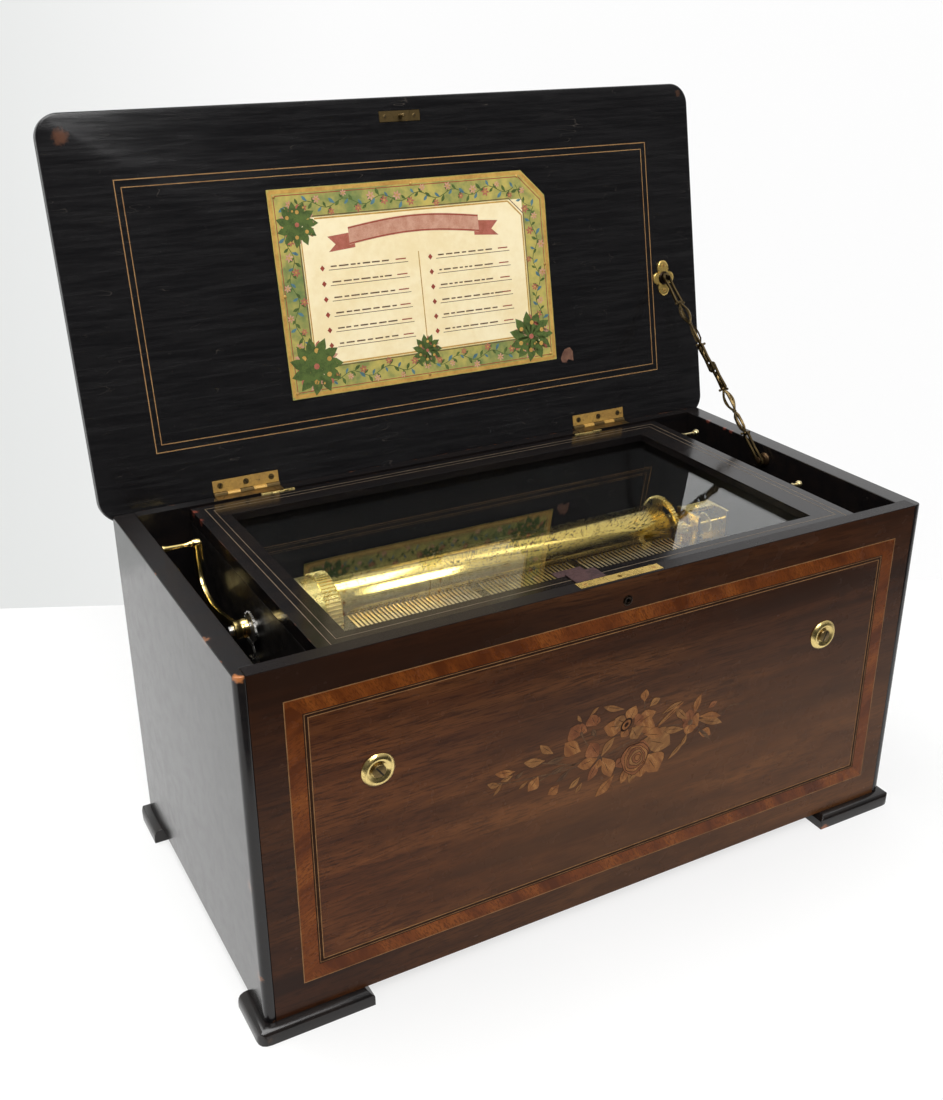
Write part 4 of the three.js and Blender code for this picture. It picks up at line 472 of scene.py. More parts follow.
@dataclass(frozen=True)
class VeneerFinish(Finish):
    """Polished veneer with a figure between three colours, and pores."""

    dark: Colour = (0.031, 0.0100, 0.0036)
    middle: Colour = (0.064, 0.0205, 0.0062)
    light: Colour = (0.098, 0.0335, 0.0100)
    stretch: Place = (0.24, 3.0, 3.0)
    scale: float = 12.0
    waviness: float = 0.07
    turn: float = 0
    rough: Pair = (0.22, 0.30)
    field: Box | None = None
    rim: float | None = None
    warm: Colour | None = None
    # Painted shade towards the top and painted light towards the foot, between two levels in
    # millimetres
    paints_light_and_shade: bool = False
    painted_light_levels: Pair = (235, 90)

    def dress(self, graph: Graph, shader: Node) -> None:
        """Figure, pores, painted shade at the top and painted light at the foot, a warm end and a
        black rim in turn.
        """
        place = graph.object_place()
        turned = graph.add("Mapping", {"Vector": place, "Rotation": (0, self.turn, 0)})
        grain = Effect.GRAIN.place(graph, turned, stretch=self.stretch, scale=self.scale,
                                   waviness=self.waviness)
        figure = grain.outputs["Figure"]
        colour = graph.mix(graph.smooth(figure, 0.33, 0.50), self.dark, self.middle)
        colour = graph.mix(graph.smooth(figure, 0.50, 0.66), colour, self.light)
        pores = graph.smooth(grain.outputs["Fibre"], 0.38, 0.54, 0.85, 0)
        colour = graph.mix(pores, colour, self.dark)
        film = Effect.MOTTLE.place(graph, place, scale=7.0)
        parts = graph.add("SeparateXYZ", {0: place})
        if self.paints_light_and_shade:
            colour = self.painted_shade_light_and_smoke(graph, turned, parts, colour)
        if self.warm is not None:
            share = graph.times(graph.smooth(parts.outputs[0], 0.0, -CASE_HALF * MM), 0.25)
            colour = graph.mix(share, colour, self.warm, "SOFT_LIGHT")
        if self.field is not None:
            colour = graph.mix(self.margin_and_painted_shade(graph, parts), colour, MARGIN_BROWN_AND_SHADE)
        hair = Effect.SCRATCHES.place(graph, place, scale=19.0, amount=0.12)
        colour = graph.mix(graph.times(hair, 0.3), colour, (0.20, 0.10, 0.05))
        if self.rim is not None:
            top = CASE_ORIGIN.z + self.rim * MM
            share = graph.smooth(parts.outputs[2], top - 0.0008, top - 0.0003)
            colour = graph.mix(share, colour, RIM_BLACK)
        graph.feed_all(shader, {"Base Color": colour, "Specular IOR Level": 0.13,
                                "Roughness": graph.smooth(film, 0, 1, *self.rough)})
        height = graph.math("ADD", grain.outputs["Fibre"], graph.times(hair, -0.5))
        bump(graph, shader, height, POLISH_DEPTH, 0.8)

    def painted_shade_light_and_smoke(self, graph: Graph, turned: Node, parts: Node, colour: Socket) -> Socket:
        """Darkens the wood towards its top in painted shade, lightens it towards its foot and its
        right end in painted light, and smokes it.

        Args:
            graph: The material's nodes.
            turned: The place along the grain.
            parts: The place on the piece, as three numbers.
            colour: The wood's colour so far.

        Returns:
            The colour with all three.
        """
        x, z = parts.outputs[0], parts.outputs[2]
        top, foot = (CASE_ORIGIN.z + level * MM for level in self.painted_light_levels)
        # Painted shade: the wood darkens towards the top of the board.
        colour = graph.mix(graph.smooth(z, foot, top, 0, 0.36), colour, self.dark)
        # Painted light: the wood lightens towards the foot and the right end.
        share = graph.times(graph.smooth(z, top, foot, 0, 0.46),
                            graph.smooth(x, -0.3, 0.02, 0.0, 1))
        colour = graph.mix(share, colour, PAINTED_LIGHT_BROWN)
        drawn = graph.vector("MULTIPLY", turned, (0.5, 2.2, 2.2))
        smoke = Effect.MOTTLE.place(graph, drawn, scale=11.0)
        return graph.mix(graph.times(smoke, 0.50), colour, SMOKE_BROWN)

    def margin_and_painted_shade(self, graph: Graph, parts: Node) -> Node:
        """How dark the wood is outside the banding, with painted shade towards the left end.

        Args:
            graph: The material's nodes.
            parts: The place on the piece, as three numbers.

        Returns:
            The share of the dark colour, most at the left end, where it is painted shade.
        """
        u0, u1, v0, v1 = self.field
        x, z = parts.outputs[0], parts.outputs[2]
        inside = graph.times(graph.math("GREATER_THAN", x, u0 * MM),
                             graph.math("LESS_THAN", x, u1 * MM))
        for test, level in (("GREATER_THAN", v0), ("LESS_THAN", v1)):
            inside = graph.times(inside, graph.math(test, z, CASE_ORIGIN.z + level * MM))
        beyond = graph.math("SUBTRACT", 1.0, inside)
        # Painted shade: the margin darkens towards the left end.
        left = graph.smooth(x, 0.25, -0.3, 0.12, 0.62)
        return graph.times(beyond, left)


@dataclass(frozen=True)
class MetalFinish(Finish):
    """Metal with a film of tarnish over it and fine turning or polishing lines."""

    colour: Colour = (0.78, 0.60, 0.24)
    film: Colour = (0.42, 0.30, 0.10)
    speck: Colour = (0.10, 0.07, 0.03)
    amount: float = 0.35
    specks: float = 0.25
    rough: Pair = (0.14, 0.34)
    scale: float = 60.0
    lines: Place = (900.0, 40.0, 40.0)
    depth: float = 0.00002
    # The span and tint of a painted reflection towards the teeth's tips
    tip: tuple[float, float, Colour] | None = None
    metallic: float = 1.0
    shade_and_dirt_dots: float = 0

    def dress(self, graph: Graph, shader: Node) -> None:
        """Clean metal under a film, with brushed lines in its roughness and bump."""
        place = graph.object_place()
        film = Effect.MOTTLE.place(graph, place, scale=self.scale)
        share = graph.times(film, self.amount)
        colour = graph.mix(share, self.colour, self.film)
        spots = graph.times(film.outputs["Speck"], self.specks)
        colour = graph.mix(spots, colour, self.speck)
        # Dark dots for the pins' shadows and for dirt: painted shade and real dirt.
        if self.shade_and_dirt_dots:
            dots = graph.add("TexVoronoi", {"Vector": place, "Scale": self.shade_and_dirt_dots})
            share = graph.smooth(dots.outputs["Distance"], 0.16, 0.30, 0.62, 0)
            colour = graph.mix(share, colour, self.speck)
        # Painted reflection: towards the tips the colour turns to a tan reflection of the brass
        # cylinder.
        if self.tip is not None:
            parts = graph.add("SeparateXYZ", {0: place})
            start, end, reflection_tint = self.tip
            low, high = (CASE_ORIGIN.y + value * MM for value in (start, end))
            colour = graph.mix(graph.smooth(parts.outputs[1], low, high), colour, reflection_tint)
        brushed = graph.noise(graph.vector("MULTIPLY", place, self.lines), 1.0, 2)
        rough = graph.smooth(film, 0, 1, *self.rough)
        rough = graph.math("ADD", rough, graph.times(brushed, 0.08))
        graph.feed_all(shader, {"Base Color": colour, "Metallic": self.metallic,
                                "Roughness": rough})
        bump(graph, shader, brushed, self.depth, 0.6)


@dataclass(frozen=True)
class PaintFinish(Finish):
    """Matt or satin colour with a mottle, for paint, paper, leather and plain wood."""

    colour: Colour
    shade: Colour
    scale: float
    rough: Pair = (0.5, 0.7)
    grainy: float = 600.0
    depth: float = 0.00008
    sheen: float = 0.0
    gloss: float = 0.25

    def dress(self, graph: Graph, shader: Node) -> None:
        """A mottle between two colours, and a fine grain in the bump."""
        place = graph.object_place()
        film = Effect.MOTTLE.place(graph, place, scale=self.scale)
        graph.feed_all(shader, {"Base Color": graph.mix(film, self.colour, self.shade),
                                "Roughness": graph.smooth(film, 0, 1, *self.rough),
                                "Sheen Weight": self.sheen, "Specular IOR Level": self.gloss})
        fine = graph.add("TexVoronoi", {"Vector": place, "Scale": self.grainy})
        bump(graph, shader, fine.outputs["Distance"], self.depth, 0.7)


@dataclass(frozen=True)
class GlassFinish(Finish):
    """Clear old glass: reflects, and lets light through to what lies under it."""

    def surface(self, graph: Graph, shader: Node) -> None:
        """Lets lamp light pass straight through."""
        path = graph.add("LightPath")
        clear = graph.add("BsdfTransparent", {"Color": (0.86, 0.90, 0.88)})
        share = path.outputs["Is Shadow Ray"]
        both = graph.add("MixShader", {0: share, 1: shader, 2: clear})
        graph.add("OutputMaterial", {"Surface": both})

    def dress(self, graph: Graph, shader: Node) -> None:
        """A faint green cast, a little dust in the roughness and a slight wave."""
        place = graph.object_place()
        film = Effect.MOTTLE.place(graph, place, scale=5.0)
        colour = graph.mix(film, (0.96, 0.98, 0.97), (0.90, 0.94, 0.92))
        graph.feed_all(shader, {"Base Color": colour, "Roughness": 0.0, "IOR": 1.42,
                                "Transmission Weight": 1.0})
        bump(graph, shader, graph.noise(place, 6.0, 1), 0.0002, 0.35)


def circle(middle: Vector, side: Vector, other: Vector, radius: float,
           count: int) -> list[Vector]:
    """Points once round a circle that lies in the plane of two directions."""
    return [middle + (side * math.cos(a) + other * math.sin(a)) * radius for a in turns(count)]


def section(x: float, half: float, y: float, low: float, high: float) -> list[Vector]:
    """An upright rectangle across a bar that runs from front to back."""
    return [Vector((x + a * half, y, high if b > 0 else low)) for a, b in QUAD]


def shown(name: str, data: bpy.types.ID) -> bpy.types.Object:
    """Makes an object of the scene from its mesh, lamp or camera."""
    made = bpy.data.objects.new(name, data)
    bpy.context.scene.collection.objects.link(made)
    return made


def apply_modifiers(made: bpy.types.Object) -> None:
    """Works an object's modifiers into its mesh."""
    graph = bpy.context.evaluated_depsgraph_get()
    fresh = bpy.data.meshes.new_from_object(made.evaluated_get(graph))
    made.modifiers.clear()
    made.data = fresh


SAME_PLACE = 0.000002
FLAT_ANGLE = math.radians(0.6)


class Work:
    """Meshes of one piece, gathered in the case's millimetres, then set riding on a body."""

    def __init__(self, name: str, source: bpy.types.Mesh | None = None) -> None:
        """Starts a piece.

        Args:
            name: The piece's name.
            source: A CAD mesh that it starts from, which is in the frame's metres already.
        """
        self.name = name
        self.mesh = bmesh.new()
        self.finishes: list[Finish] = []
        self.measured = source is None
        if source is not None:
            self.mesh.from_mesh(source)
            bmesh.ops.remove_doubles(self.mesh, verts=self.mesh.verts, dist=SAME_PLACE)
            bmesh.ops.dissolve_limit(self.mesh, angle_limit=FLAT_ANGLE,
                                     verts=self.mesh.verts, edges=self.mesh.edges)

    def index(self, finish: Finish) -> int:
        """The place of a finish among the piece's own."""
        if finish not in self.finishes:
            self.finishes.append(finish)
        return self.finishes.index(finish)

    def face(self, corners: Sequence[bmesh.types.BMVert], finish: Finish) -> None:
        """Adds one face."""
        made = self.mesh.faces.new(corners)
        made.material_index = self.index(finish)
        made.smooth = True

    def loft(self, rings: Sequence[Points], finish: Finish,
             closed: bool = False) -> None:
        """Skins rings of equal count.

        Args:
            rings: The rings' points, one ring after another.
            finish: The skin's finish.
            closed: Whether the last ring joins the first; otherwise both are filled.
        """
        rows = [[self.mesh.verts.new(point) for point in ring] for ring in rings]
        count = len(rows[0])
        pairs = list(zip(rows, rows[1:]))
        if closed:
            pairs.append((rows[-1], rows[0]))
        for low, high in pairs:
            for i in range(count):
                j = (i + 1) % count
                self.face((low[i], low[j], high[j], high[i]), finish)
        if not closed:
            self.face(rows[0][::-1], finish)
            self.face(rows[-1], finish)

    def prism(self, outline: Points, rise: Vector, finish: Finish) -> None:
        """A flat outline given a thickness."""
        self.loft([outline, [point + rise for point in outline]], finish)

    def block(self, low: Place, high: Place, finish: Finish) -> None:
        """A box between two corners."""
        x0, y0, z0 = low
        x1, y1, z1 = high
        ring = [Vector((x, y, z0)) for x, y in ((x0, y0), (x1, y0), (x1, y1), (x0, y1))]
        self.prism(ring, Vector((0, 0, z1 - z0)), finish)

    def lathe(self, start: Vector, axis: Vector, profile: Sequence[Pair],
              finish: Finish, steps: int = 32, closed: bool = False) -> None:
        """Turns a profile of (along, radius) pairs about an axis.

        Args:
            start: The point on the axis from which the profile's first number counts.
            axis: The axis's direction.
            profile: Pairs along the axis and out from it.
            finish: The turned piece's finish.
            steps: Faces round the axis.
            closed: Whether the profile is a loop, as of a ring.
        """
        axis = axis.normalized()
        side = axis.orthogonal().normalized()
        other = axis.cross(side)
        rings = [circle(start + axis * along, side, other, max(radius, 0.01), steps)
                 for along, radius in profile]
        self.loft(rings, finish, closed)

    def tube(self, path: Points, radii: Sequence[float], finish: Finish, sides: int) -> None:
        """A round wire along a path.

        Args:
            path: The points that it follows.
            radii: Its radius at each point.
            finish: Its finish.
            sides: Faces round it.
        """
        count = len(path)
        along = [(path[min(i + 1, count - 1)] - path[max(i - 1, 0)]).normalized()
                 for i in range(count)]
        side = along[0].orthogonal().normalized()
        rings = []
        for point, forward, size in zip(path, along, radii):
            side = (side - forward * side.dot(forward)).normalized()
            rings.append(circle(point, side, forward.cross(side), size, sides))
        self.loft(rings, finish)

    def ball(self, centre: Vector, radius: float, finish: Finish) -> None:
        """A small ball."""
        steps = 8
        profile = [(-radius * math.cos(i * math.pi / steps), radius * math.sin(i * math.pi / steps))
                   for i in range(steps + 1)]
        self.lathe(centre, Vector((1, 0, 0)), profile, finish, 12)

    def slot(self, place: Vector, along: Vector, across: Vector, half: Pair,
             rise: Vector) -> None:
        """The slot of a screw's head as a raised sheet of painted shade, of that half length and
        half width.
        """
        corners = [place + along * (half[0] * a) + across * (half[1] * b) for a, b in QUAD]
        self.prism(corners, rise, SLOT_SHADE)

    def screw(self, place: Vector, out: Vector, radius: float, finish: Finish, turn: float,
              rise: float) -> None:
        """A slotted screw head that stands a little out of its face.

        Args:
            place: The middle of the head, on the face.
            out: The way that the head looks.
            radius: The head's radius.
            finish: The head's finish.
            turn: The slot's turn in radians.
            rise: How far the head stands out.
        """
        profile = [(-rise, radius), (rise * 0.5, radius), (rise, radius * 0.8), (rise, 0)]
        self.lathe(place, out, profile, finish, 20)
        side = Matrix.Rotation(turn, 3, out) @ out.orthogonal().normalized()
        self.slot(place + out * (rise + 0.02), side, out.cross(side).normalized(),
                  (radius * 0.86, radius * 0.13), out * 0.05)

    def placed(self) -> bpy.types.Object:
        """Makes what was gathered an object of the scene."""
        if self.measured:
            bmesh.ops.recalc_face_normals(self.mesh, faces=self.mesh.faces)
            self.mesh.transform(Matrix.Translation(CASE_ORIGIN) @ Matrix.Scale(MM, 4))
        data = bpy.data.meshes.new(self.name)
        self.mesh.to_mesh(data)
        self.mesh.free()
        return shown(self.name, data)

    def finish(self, body: str, replaces: Sequence[str] = (), angle: float = 38,
               bevel: float = 0, cutters: Sequence[bpy.types.Object] = ()) -> None:
        """Cuts, rounds, shades and dresses what was gathered, and sets it riding.

        Args:
            body: The body that the piece rides on.
            replaces: The CAD nodes that it stands for.
            angle: The angle in degrees from which an edge is sharp.
            bevel: The width of its rounded edges, in millimetres.
            cutters: Solids that are cut out of it.
        """
        made = self.placed()
        for finish in self.finishes:
            made.data.materials.append(finish.material())
        for number, cutter in enumerate(cutters):
            carve = made.modifiers.new(f"carve_{number}", "BOOLEAN")
            carve.object = cutter
            carve.operation = "DIFFERENCE"
            carve.solver = "EXACT"
        if bevel:
            rounding = made.modifiers.new("rounding", "BEVEL")
            rounding.width = bevel * MM
            rounding.segments = 2
            rounding.limit_method = "ANGLE"
            rounding.angle_limit = math.radians(angle)
        if made.modifiers:
            apply_modifiers(made)
        for cutter in cutters:
            bpy.data.objects.remove(cutter)
        made.data.shade_smooth()
        made.data.set_sharp_from_angle(angle=math.radians(angle))
        if bevel:
            even = made.modifiers.new("even_shading", "WEIGHTED_NORMAL")
            even.keep_sharp = True
            apply_modifiers(made)
        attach(made, body)
        if replaces:
            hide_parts(*replaces)
        log.info("%s: %d faces, on %s", made.name, len(made.data.polygons), body)


def redone(node: str, finish: Finish, bevel: float = 0.3, angle: float = 38) -> None:
    """Makes a CAD node again with whole faces, rounded edges and its real finish.

    Args:
        node: The node that the piece stands for.
        finish: Its finish.
        bevel: The width of its rounded edges, in millimetres.
        angle: The angle in degrees from which an edge is sharp.
    """
    source = frame["nodes"][node]
    work = Work(f"{node}_dressed", source.data)
    work.index(finish)
    work.finish(source["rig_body"], [node], angle, bevel)


def dress(node: str, finish: Finish) -> None:
    """Gives a CAD node whose shape is right its real finish."""
    materials = frame["nodes"][node].data.materials
    materials.clear()
    materials.append(finish.material())
    log.info("%s: its own shape, in %s", node, finish.name)


def cutter(low: Place, high: Place) -> bpy.types.Object:
    """A box to cut the lid with, between two corners of its inner face's own axes."""
    work = Work("cutter")
    for vert in bmesh.ops.create_cube(work.mesh, size=1)["verts"]:
        share = vert.co + Vector((0.5, 0.5, 0.5))
        vert.co = LID_INSIDE.at(*(a + (b - a) * s for a, b, s in zip(low, high, share)))
    return work.placed()


@dataclass(frozen=True)
class Plane:
    """A flat face that thin work lies on, in the case's millimetres."""

    origin: Vector
    across: Vector
    up: Vector
    out: Vector

    def at(self, u: float, v: float, w: float = 0) -> Vector:
        """The place at u across, v up and w out from the face."""
        return self.origin + self.across * u + self.up * v + self.out * w

    def sheet(self, work: Work, outline: Sequence[Pair], finish: Finish,
              top: float = 0.12, depth: float = 0.3) -> None:
        """Lays a thin flat shape whose top stands a little over the face."""
        corners = [self.at(u, v, top - depth) for u, v in outline]
        work.prism(corners, self.out * depth, finish)

    def band(self, work: Work, box: Box, width: float,
             finishes: Sequence[Finish], top: float) -> None:
        """Lays a mitred frame just inside a rectangle.

        Args:
            work: The piece that it is part of.
            box: The rectangle's left, right, low and high sides.
            width: The frame's width.
            finishes: The finishes of its sides, taken in turn.
            top: How far it stands over the face.
        """
        u0, u1, v0, v1 = box
        outer = [(u0, v0), (u1, v0), (u1, v1), (u0, v1)]
        inner = [(u - a * width, v - b * width) for (u, v), (a, b) in zip(outer, QUAD)]
        for i in range(4):
            j = (i + 1) % 4
            outline = [outer[i], outer[j], inner[j], inner[i]]
            self.sheet(work, outline, finishes[i % len(finishes)], top)


LEAN_UP = Vector((0, math.sin(LID_LEAN), math.cos(LID_LEAN)))
LEAN_OUT = Vector((0, -math.cos(LID_LEAN), math.sin(LID_LEAN)))
RIGHT = Vector((1, 0, 0))
BACK = Vector((0, 1, 0))
UP = Vector((0, 0, 1))
FRONT_FACE = Plane(Vector((0, 0, 0)), RIGHT, UP, -BACK)
LID_INSIDE = Plane(Vector((0, HINGE_Y, HINGE_Z)), RIGHT, LEAN_UP, LEAN_OUT)
FRAME_TOP = Plane(Vector((0, 0, RIM_FRAME_TOP)), RIGHT, BACK, UP)
RIM_TOP = Plane(Vector((0, 0, CASE_HEIGHT)), RIGHT, BACK, UP)
COMB_TOP = Plane(Vector((0, 0, 247.4)), RIGHT, BACK, UP)


def spline(points: Points, steps: int) -> list[Vector]:
    """A smooth path through points.

    Args:
        points: What it goes through.
        steps: Steps between each two of them.

    Returns:
        The path's points.
    """
    ends = [points[0] * 2 - points[1], *points, points[-1] * 2 - points[-2]]
    path = []
    for i in range(1, len(ends) - 2):
        a, b, c, d = ends[i - 1:i + 3]
        for k in range(steps):
            t = k / steps
            path.append(0.5 * (2 * b + (c - a) * t + (2 * a - 5 * b + 4 * c - d) * t ** 2
                               + (3 * b - a - 3 * c + d) * t ** 3))
    return [*path, points[-1]]


ORANGE_WEAR = (0.42, 0.155, 0.05)
RED_WEAR = (0.13, 0.032, 0.02)
BROWN_WEAR = (0.16, 0.07, 0.035)


def lid_place(u: float, v: float) -> Place:
    """A place on the lid's inner face in the case's millimetres."""
    return tuple(LID_INSIDE.at(u, v))


CASE_BLACK = EbonisedFinish(
    "ebonised_case", "black_gloss", low=(-CASE_HALF, 0, 0),
    high=(CASE_HALF, CASE_DEPTH, CASE_HEIGHT), edge=1.6, wears=(
        Wear((-298, 0, 287), 6, ORANGE_WEAR, 1.2), Wear((-300, 60, 287), 5, BROWN_WEAR, 1.9),
        Wear((282, 262, 287), 4.5, RED_WEAR, 1.7), Wear((282, 236, 287), 3.5, RED_WEAR, 1.9),
        Wear((282, 226, 287), 3.5, RED_WEAR, 1.8), Wear((-300, 8, 120), 5, BROWN_WEAR, 1.9),
        Wear((-300, 6, 40), 5, BROWN_WEAR, 1.9)))
INNER_BLACK = EbonisedFinish(
    "ebonised_inside", "black_gloss", colour=(0.0045, 0.004, 0.004), cast_and_painted_sheen=(0.009, 0.0065, 0.0055),
    sheen=(0.34, 0.5))
FOOT_BLACK = EbonisedFinish(
    "ebonised_foot", "black_gloss", colour=(0.007, 0.0062, 0.0062), cast_and_painted_sheen=(0.014, 0.0095, 0.008),
    under=(0.11, 0.045, 0.022), edge=0.9, low=(-308, -8, -13), high=(308, 312, 0), wears=(
        Wear((228, -7, -13), 6, (0.24, 0.085, 0.035), 1.2),
        Wear((-300, -7, -8), 3, (0.03, 0.018, 0.013), 1.8)))
# The lid's grey cast in long streaks is painted sheen.
LID_BLACK = EbonisedFinish(
    "ebonised_lid", "black_gloss", colour=(0.0052, 0.0050, 0.0056),
    cast_and_painted_sheen=(0.0125, 0.0120, 0.0126), streak=(0.5, 9, 9), scratches=0.22,
    wears=(
        Wear(lid_place(-290, 297), 8, (0.085, 0.036, 0.020), 1.3),
        Wear(lid_place(298, 306), 4, (0.05, 0.025, 0.016), 1.5)))
FRAME_BLACK = EbonisedFinish(
    "ebonised_frame", "black_gloss", sheen=(0.13, 0.2), edge=0.8, gloss=0.30,
    low=(-238, 12.5, 270), high=(238, 292.5, 285.4), under=(0.07, 0.03, 0.018),
    wears=(Wear((-238, 284, 285), 5, RED_WEAR, 1.8), Wear((-238, 264, 284), 4, RED_WEAR, 1.9)))
# The front's darker top and lighter lower right are painted shade and painted light.
FRONT_VENEER = VeneerFinish(
    "front_veneer", "rosewood", dark=(0.022, 0.0072, 0.0026), light=(0.130, 0.046, 0.013),
    field=(-269, 274, 25, 261), rim=CASE_HEIGHT, warm=(0.90, 0.60, 0.36), paints_light_and_shade=True)
CROSSBANDS = [
    VeneerFinish(f"crossband_{name}", "rosewood", (0.066, 0.015, 0.0020), (0.122, 0.030, 0.0040),
                 (0.180, 0.050, 0.0070), stretch, 16, 0.02, turn)
    for name, stretch, turn in (("upright", (3.5, 3.5, 0.8), 0.5),
                                ("level", (0.8, 3.5, 3.5), 0.45))]
STRING_LIGHT = PaintFinish(
    "boxwood_string", "rosewood", (0.36, 0.21, 0.085), (0.24, 0.12, 0.045), 90.0, (0.35, 0.5))
STRING_TAN = PaintFinish(
    "tan_string", "rosewood", (0.24, 0.125, 0.048), (0.15, 0.07, 0.026), 90.0, (0.35, 0.5),
    gloss=0.1)
STRING_DARK = PaintFinish(
    "dark_string", "rosewood", (0.026, 0.0095, 0.004), (0.018, 0.007, 0.003), 90.0, (0.4, 0.55),
    gloss=0.05)
STRING_FINE = PaintFinish(
    "fine_string", "black_gloss", (0.17, 0.13, 0.085), (0.10, 0.07, 0.045), 60.0, (0.35, 0.5))
PETAL_TONES = {
    name[0]: VeneerFinish(f"petal_{name}", "rosewood", dark, middle, light, stretch, 30, 0.05, turn)
    for name, dark, middle, light, stretch, turn in (
        ("orange", (0.14, 0.050, 0.014), (0.22, 0.088, 0.024), (0.30, 0.135, 0.040),
         (6, 2, 1.4), 0.5),
        ("pale", (0.13, 0.054, 0.016), (0.200, 0.090, 0.027), (0.27, 0.130, 0.042),
         (1.4, 2, 6), 0.8),
        ("red", (0.10, 0.031, 0.010), (0.165, 0.057, 0.018), (0.23, 0.086, 0.029),
         (3, 2, 3), 0.2),
        ("dark", (0.050, 0.024, 0.011), (0.085, 0.042, 0.018), (0.12, 0.065, 0.028),
         (2, 2, 5), 1.0))
}
RAW_WOOD = VeneerFinish(
    "plain_pine", "raw_wood", (0.30, 0.17, 0.08), (0.46, 0.30, 0.16), (0.55, 0.39, 0.22),
    (0.4, 3, 3), 9, 0.1, rough=(0.6, 0.8))
BRASS = MetalFinish("polished_brass", "brass", amount=0.25, specks=0.12)
LEVER_BRASS = MetalFinish(
    "lever_brass", "brass", amount=0.15, specks=0.04, rough=(0.12, 0.2), scale=40.0, depth=0.000004)
# The cylinder's dark dots are painted shade of the pins and dirt.
CYLINDER_BRASS = MetalFinish(
    "cylinder_brass", "brass", (0.88, 0.65, 0.20), (0.66, 0.46, 0.12), (0.12, 0.08, 0.03), 0.3,
    0.65, (0.07, 0.13), 120.0, (2200.0, 60.0, 60.0), 0.00001, shade_and_dirt_dots=430.0)
PLATE_BRASS = MetalFinish(
    "plate_brass", "brass", (0.80, 0.56, 0.17), (0.50, 0.34, 0.10), (0.12, 0.08, 0.03), 0.35, 0.25,
    (0.16, 0.32), metallic=0.75)
BOSS_DARK = MetalFinish(
    "blackened_boss", "brass", (0.030, 0.020, 0.013), (0.015, 0.010, 0.008), (0.05, 0.035, 0.02),
    0.6, 0.4, (0.2, 0.4))
PALE_BRASS = MetalFinish(
    "pale_brass", "brass", (0.74, 0.62, 0.34), (0.46, 0.36, 0.16), (0.16, 0.11, 0.05), 0.35, 0.2,
    (0.2, 0.4))
AGED_BRASS = MetalFinish(
    "worn_brass", "aged_brass", (0.54, 0.325, 0.08), (0.22, 0.11, 0.03), (0.05, 0.03, 0.015), 0.6,
    0.7, (0.30, 0.48), 70.0, metallic=0.35)
OLD_BRASS = MetalFinish(
    "tarnished_brass", "brass", (0.24, 0.165, 0.07), (0.10, 0.07, 0.03), (0.04, 0.03, 0.02), 0.8,
    0.5, (0.3, 0.5), 45.0)
CHAIN_BRASS = MetalFinish(
    "chain_brass", "dark_bronze", (0.15, 0.105, 0.045), (0.035, 0.025, 0.013), (0.02, 0.015, 0.01),
    0.9, 0.6, (0.28, 0.5), 70.0)
DARK_BRONZE = MetalFinish(
    "browned_bronze", "dark_bronze", (0.14, 0.085, 0.045), (0.055, 0.035, 0.02),
    (0.02, 0.012, 0.01), 0.7, 0.5, (0.3, 0.55))
BRIDGE_BRASS = MetalFinish(
    "bridge_brass", "brass", (0.30, 0.21, 0.08), (0.10, 0.07, 0.03), (0.03, 0.02, 0.01), 0.7, 0.4,
    (0.3, 0.5))
STEEL = MetalFinish(
    "bright_steel", "steel", (0.56, 0.55, 0.52), (0.32, 0.30, 0.27), (0.12, 0.09, 0.07), 0.5, 0.4,
    (0.18, 0.4))
SCREW_STEEL = MetalFinish(
    "blued_steel", "steel", (0.20, 0.19, 0.19), (0.09, 0.08, 0.08), (0.05, 0.035, 0.03), 0.6, 0.4,
    (0.25, 0.45))
# The tan towards the teeth's tips is a painted reflection of the brass cylinder.
COMB_STEEL = MetalFinish(
    "comb_steel", "steel", (0.50, 0.43, 0.33), (0.36, 0.30, 0.22), (0.12, 0.09, 0.06), 0.4, 0.4,
    (0.25, 0.4), 80.0, (60.0, 900.0, 60.0), tip=(102, 107, (0.34, 0.25, 0.14)))
# The teeth's sides are painted shade, which darkens the gaps between the teeth.
TOOTH_SIDE_SHADE = MetalFinish(
    "tooth_side_shade", "steel", (0.035, 0.03, 0.026), (0.02, 0.017, 0.015), (0.05, 0.035, 0.03), 0.5,
    0.4, (0.35, 0.5))
KEY_BRASS = MetalFinish(
    "key_brass", "brass", (0.42, 0.34, 0.16), (0.28, 0.21, 0.09), (0.08, 0.06, 0.03), 0.5, 0.4,
    (0.25, 0.4), 80.0, (60.0, 900.0, 60.0), tip=(101, 106, (0.30, 0.22, 0.10)))
# The pins' dark colour is partly dirt and partly painted shade.
PIN_SHADE_AND_DIRT = MetalFinish(
    "pin_steel_shade_and_dirt", "steel", (0.07, 0.055, 0.035), (0.03, 0.025, 0.018), (0.03, 0.02, 0.015), 0.6, 0.3,
    (0.3, 0.5))
BED_IRON = PaintFinish(
    "bedplate_paint", "iron", (0.030, 0.034, 0.030), (0.016, 0.018, 0.016), 40.0, (0.35, 0.6),
    900.0, 0.00003)
# Painted shade for screw slots and the keyhole's bore
SLOT_SHADE = PaintFinish(
    "slot_shadow", "brass", (0.008, 0.006, 0.004), (0.012, 0.01, 0.006), 200.0, (0.6, 0.8))
TAB_LEATHER = PaintFinish(
    "tab_leather", "leather", (0.050, 0.022, 0.022), (0.026, 0.013, 0.014), 70.0, (0.45, 0.7),
    1500.0, 0.00025)
BELLOWS_LEATHER = PaintFinish(
    "bellows_leather", "leather", (0.36, 0.27, 0.18), (0.24, 0.16, 0.10), 30.0, (0.6, 0.8), 900.0,
    0.0003, 0.2)
PANE = GlassFinish("lid_glass", "glass")
TORN_PAPER = PaintFinish("torn_paper", "paper", (0.20, 0.10, 0.065), (0.10, 0.045, 0.03), 200.0)


PETAL_FULLNESS = math.log(0.5) / math.log(0.55)


